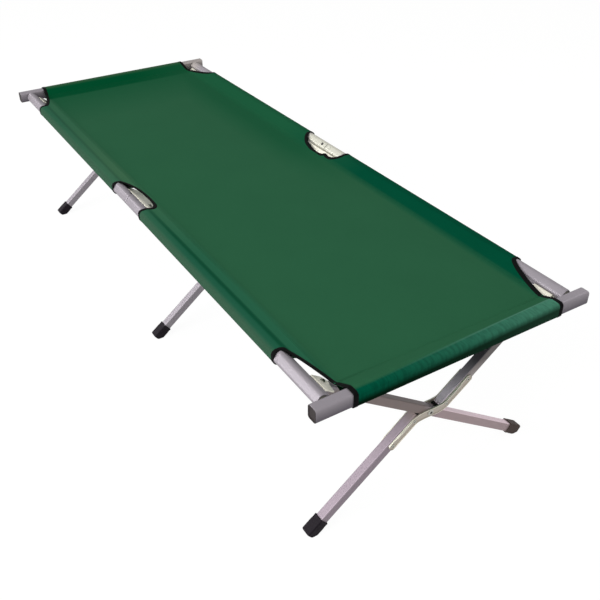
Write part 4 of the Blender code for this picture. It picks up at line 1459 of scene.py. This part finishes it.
for side in (left, right):
    cloth, flat_area = half_cloth(side.sign)
    thick = cloth.modifiers.new("cloth", "SOLIDIFY")
    thick.thickness = cloth_thickness
    thick.offset = 0
    baked(cloth)
    taken = [f"sleeve_{side.name}_{end}" for end in ("foot", "head")]
    if side is left:
        taken.append("bed_sheet")
    fitted(cloth, oxford, "green_polyester", None, *taken, sharp=48)
    follow_rail(cloth)


# Bindings
# Black woven tape is folded over every cut edge and sewn through. It runs round
# each corner and each middle cut, and on round the open ends of the sleeves.
tape_width = 0.009
tape_rise = 0.0012
tape_edge = 0.0012
tape_hem = 0.0006
tape_fold = 0.0008
slope_step = 0.002

# Black binding tape: fine cross ribs, dull, with a little lint.
tape_black = ("#040505", "#101111")
rib_pitch = 0.0016
tape_finish, _ = speckled(
    "black_woven_tape",
    1.0,
    2.0,
    tape_black,
    relief=(0.5, 0.0004),
    across=(1 / rib_pitch, 40, 1),
    Roughness=0.8,
    IOR=1.45,
    Specular_IOR_Level=0.05,
)


def edge_loop(sign, y_sign, corner):
    """The cut edge as (place, way inward along the cloth), in one closed loop."""
    plan = corner_edge(48) if corner else middle_edge(sign, 72)
    if corner:
        plan = [Vector((p.x, y_sign * p.y)) for p in plan]
    last = len(plan) - 1
    inwards = []
    for k, p in enumerate(plan):
        way = (plan[min(k + 1, last)] - plan[max(k - 1, 0)]).normalized()
        inward = Vector((-way.y, way.x))
        if inward.x > 0 or (abs(inward.x) < hair and not corner and p.y * inward.y < 0):
            inward = -inward
        if corner and inward.y * y_sign > 0:
            inward = -inward
        inwards.append(inward)
    inwards[0] = Vector((0, -y_sign if corner else -1))
    inwards[-1] = Vector((-1, 0) if corner else (0, 1))

    def edge_of(height, lift):
        """The edge of one layer of the cloth."""
        line = []
        for p, inward in zip(plan, inwards):
            q = p + slope_step * inward
            here = height(p.x, p.y, sign)
            slope = Vector((*(slope_step * inward), height(q.x, q.y, sign) - here)).normalized()
            line.append((Vector((p.x, p.y, bed_z + here)) + lift * along_z, slope))
        return line

    def round_rail(k):
        """The way round the sleeve at one end of the cut."""
        way = inwards[k].to_3d()
        return [(Vector((rail_x + out, plan[k].y, bed_z + up)), way) for out, up in rail_hull.around()]

    end = round_rail(-1)
    if corner:
        around = bar_hull.around()
        end = [(Vector((corner_x, y_sign * (bar_y + out), bed_z + up)), -along_x) for out, up in around]
    full = edge_of(upper_height, 0.0) + end[1:-1]
    full += edge_of(lower_height, cloth_thickness)[::-1] + round_rail(0)[-2:0:-1]
    return [(Vector((sign * p.x, p.y, p.z)), Vector((sign * w.x, w.y, w.z))) for p, w in full]


def tape_along(name, loop):
    """Folded tape along a closed loop of cut edge."""
    section = [(tape_width, 0.62), (tape_width - tape_hem, 1.0), (tape_fold, 1.0), (-tape_edge * 0.6, 0.7)]
    section += [(-tape_edge, 0.0)] + [(out, -rise) for out, rise in reversed(section)]
    section = [(out, rise * tape_rise) for out, rise in section]
    rings = []
    for k, (place, inward) in enumerate(loop):
        way = (loop[(k + 1) % len(loop)][0] - loop[k - 1][0]).normalized()
        normal = inward.cross(way).normalized()
        across = way.cross(normal).normalized()
        rings.append(placed(section, place, across if across.dot(inward) > 0 else -across, normal))
    return skin(name, rings, loop=True)


for side in (left, right):
    for name, y_sign, corner in (("foot", -1, True), ("middle", 1, False), ("head", 1, True)):
        loop = edge_loop(side.sign, y_sign, corner)
        tape = tape_along(f"binding_{name}_{side.name}_tape", loop)
        fitted(tape, tape_finish, "black_binding_tape", None, f"binding_{name}_{side.name}", sharp=60)
        follow_rail(tape)

# Stitching
# Twin rows of green thread close the sleeves and pockets. Every stitch is the same
# short thread, laid along the rows in turn.
stitch_pitch = 0.0036
stitch_half_width = 0.0003
stitch_tip = (0.0013, 0.0001)
stitch_body = 0.0008
stitch_rows = (0.0012, 0.0060)
stitch_lift = 0.0001
first_stitch = 0.020
short_of_seam = 0.002

# Polyester thread: a fine twist in the cloth's own green.
thread_green = ("#1E5236", "#27603F")
thread_finish, _ = speckled(
    "polyester_thread", 1500.0, 1.0, thread_green, Roughness=0.6, IOR=1.5, Specular_IOR_Level=0.02
)

half_stitch = [(stitch_body, stitch_half_width), stitch_tip]
stitch_profile = [(-along, radius) for along, radius in reversed(half_stitch)] + half_stitch
stitch_pattern = skin("stitch_pattern", lathed(Vector((0, 0, 0)), along_z, stitch_profile, 6))


def stitch_row(points):
    """Places a stitch apart along a line, each with the way that the line runs there."""
    stitches = []
    rest = 0.0
    for a, b in zip(points, points[1:]):
        length = (b - a).length
        while rest < length:
            stitches.append((a + (b - a) * (rest / length), (b - a).normalized()))
            rest += stitch_pitch
        rest -= length
    return stitches


for side in (left, right):
    stitches = []
    lift = cloth_thickness / 2 + stitch_lift
    span = bar_seam_y - first_stitch - short_of_seam
    for back in stitch_rows:
        sleeve_row = [(rail_seam_x + back, first_stitch + span * k / 120) for k in range(121)]
        pocket_row = [(rail_seam_x * k / 40, bar_seam_y + back) for k in range(41)]
        for y_sign in (-1, 1):
            for row in (sleeve_row, pocket_row):
                clear = [(x, y) for x, y in row if edge_x(y_sign * y, side.sign) > x + tape_width]
                heights = [bed_z + upper_height(x, y) + lift for x, y in clear]
                line = [Vector((side.sign * x, y_sign * y, z)) for (x, y), z in zip(clear, heights)]
                stitches += stitch_row(line)
    stitches = repeated(f"stitches_{side.name}", *zip(*stitches), stitch_pattern, thread_finish)
    fitted(stitches, thread_finish, "green_polyester", None)
    follow_rail(stitches)
bpy.data.objects.remove(stitch_pattern, do_unlink=True)
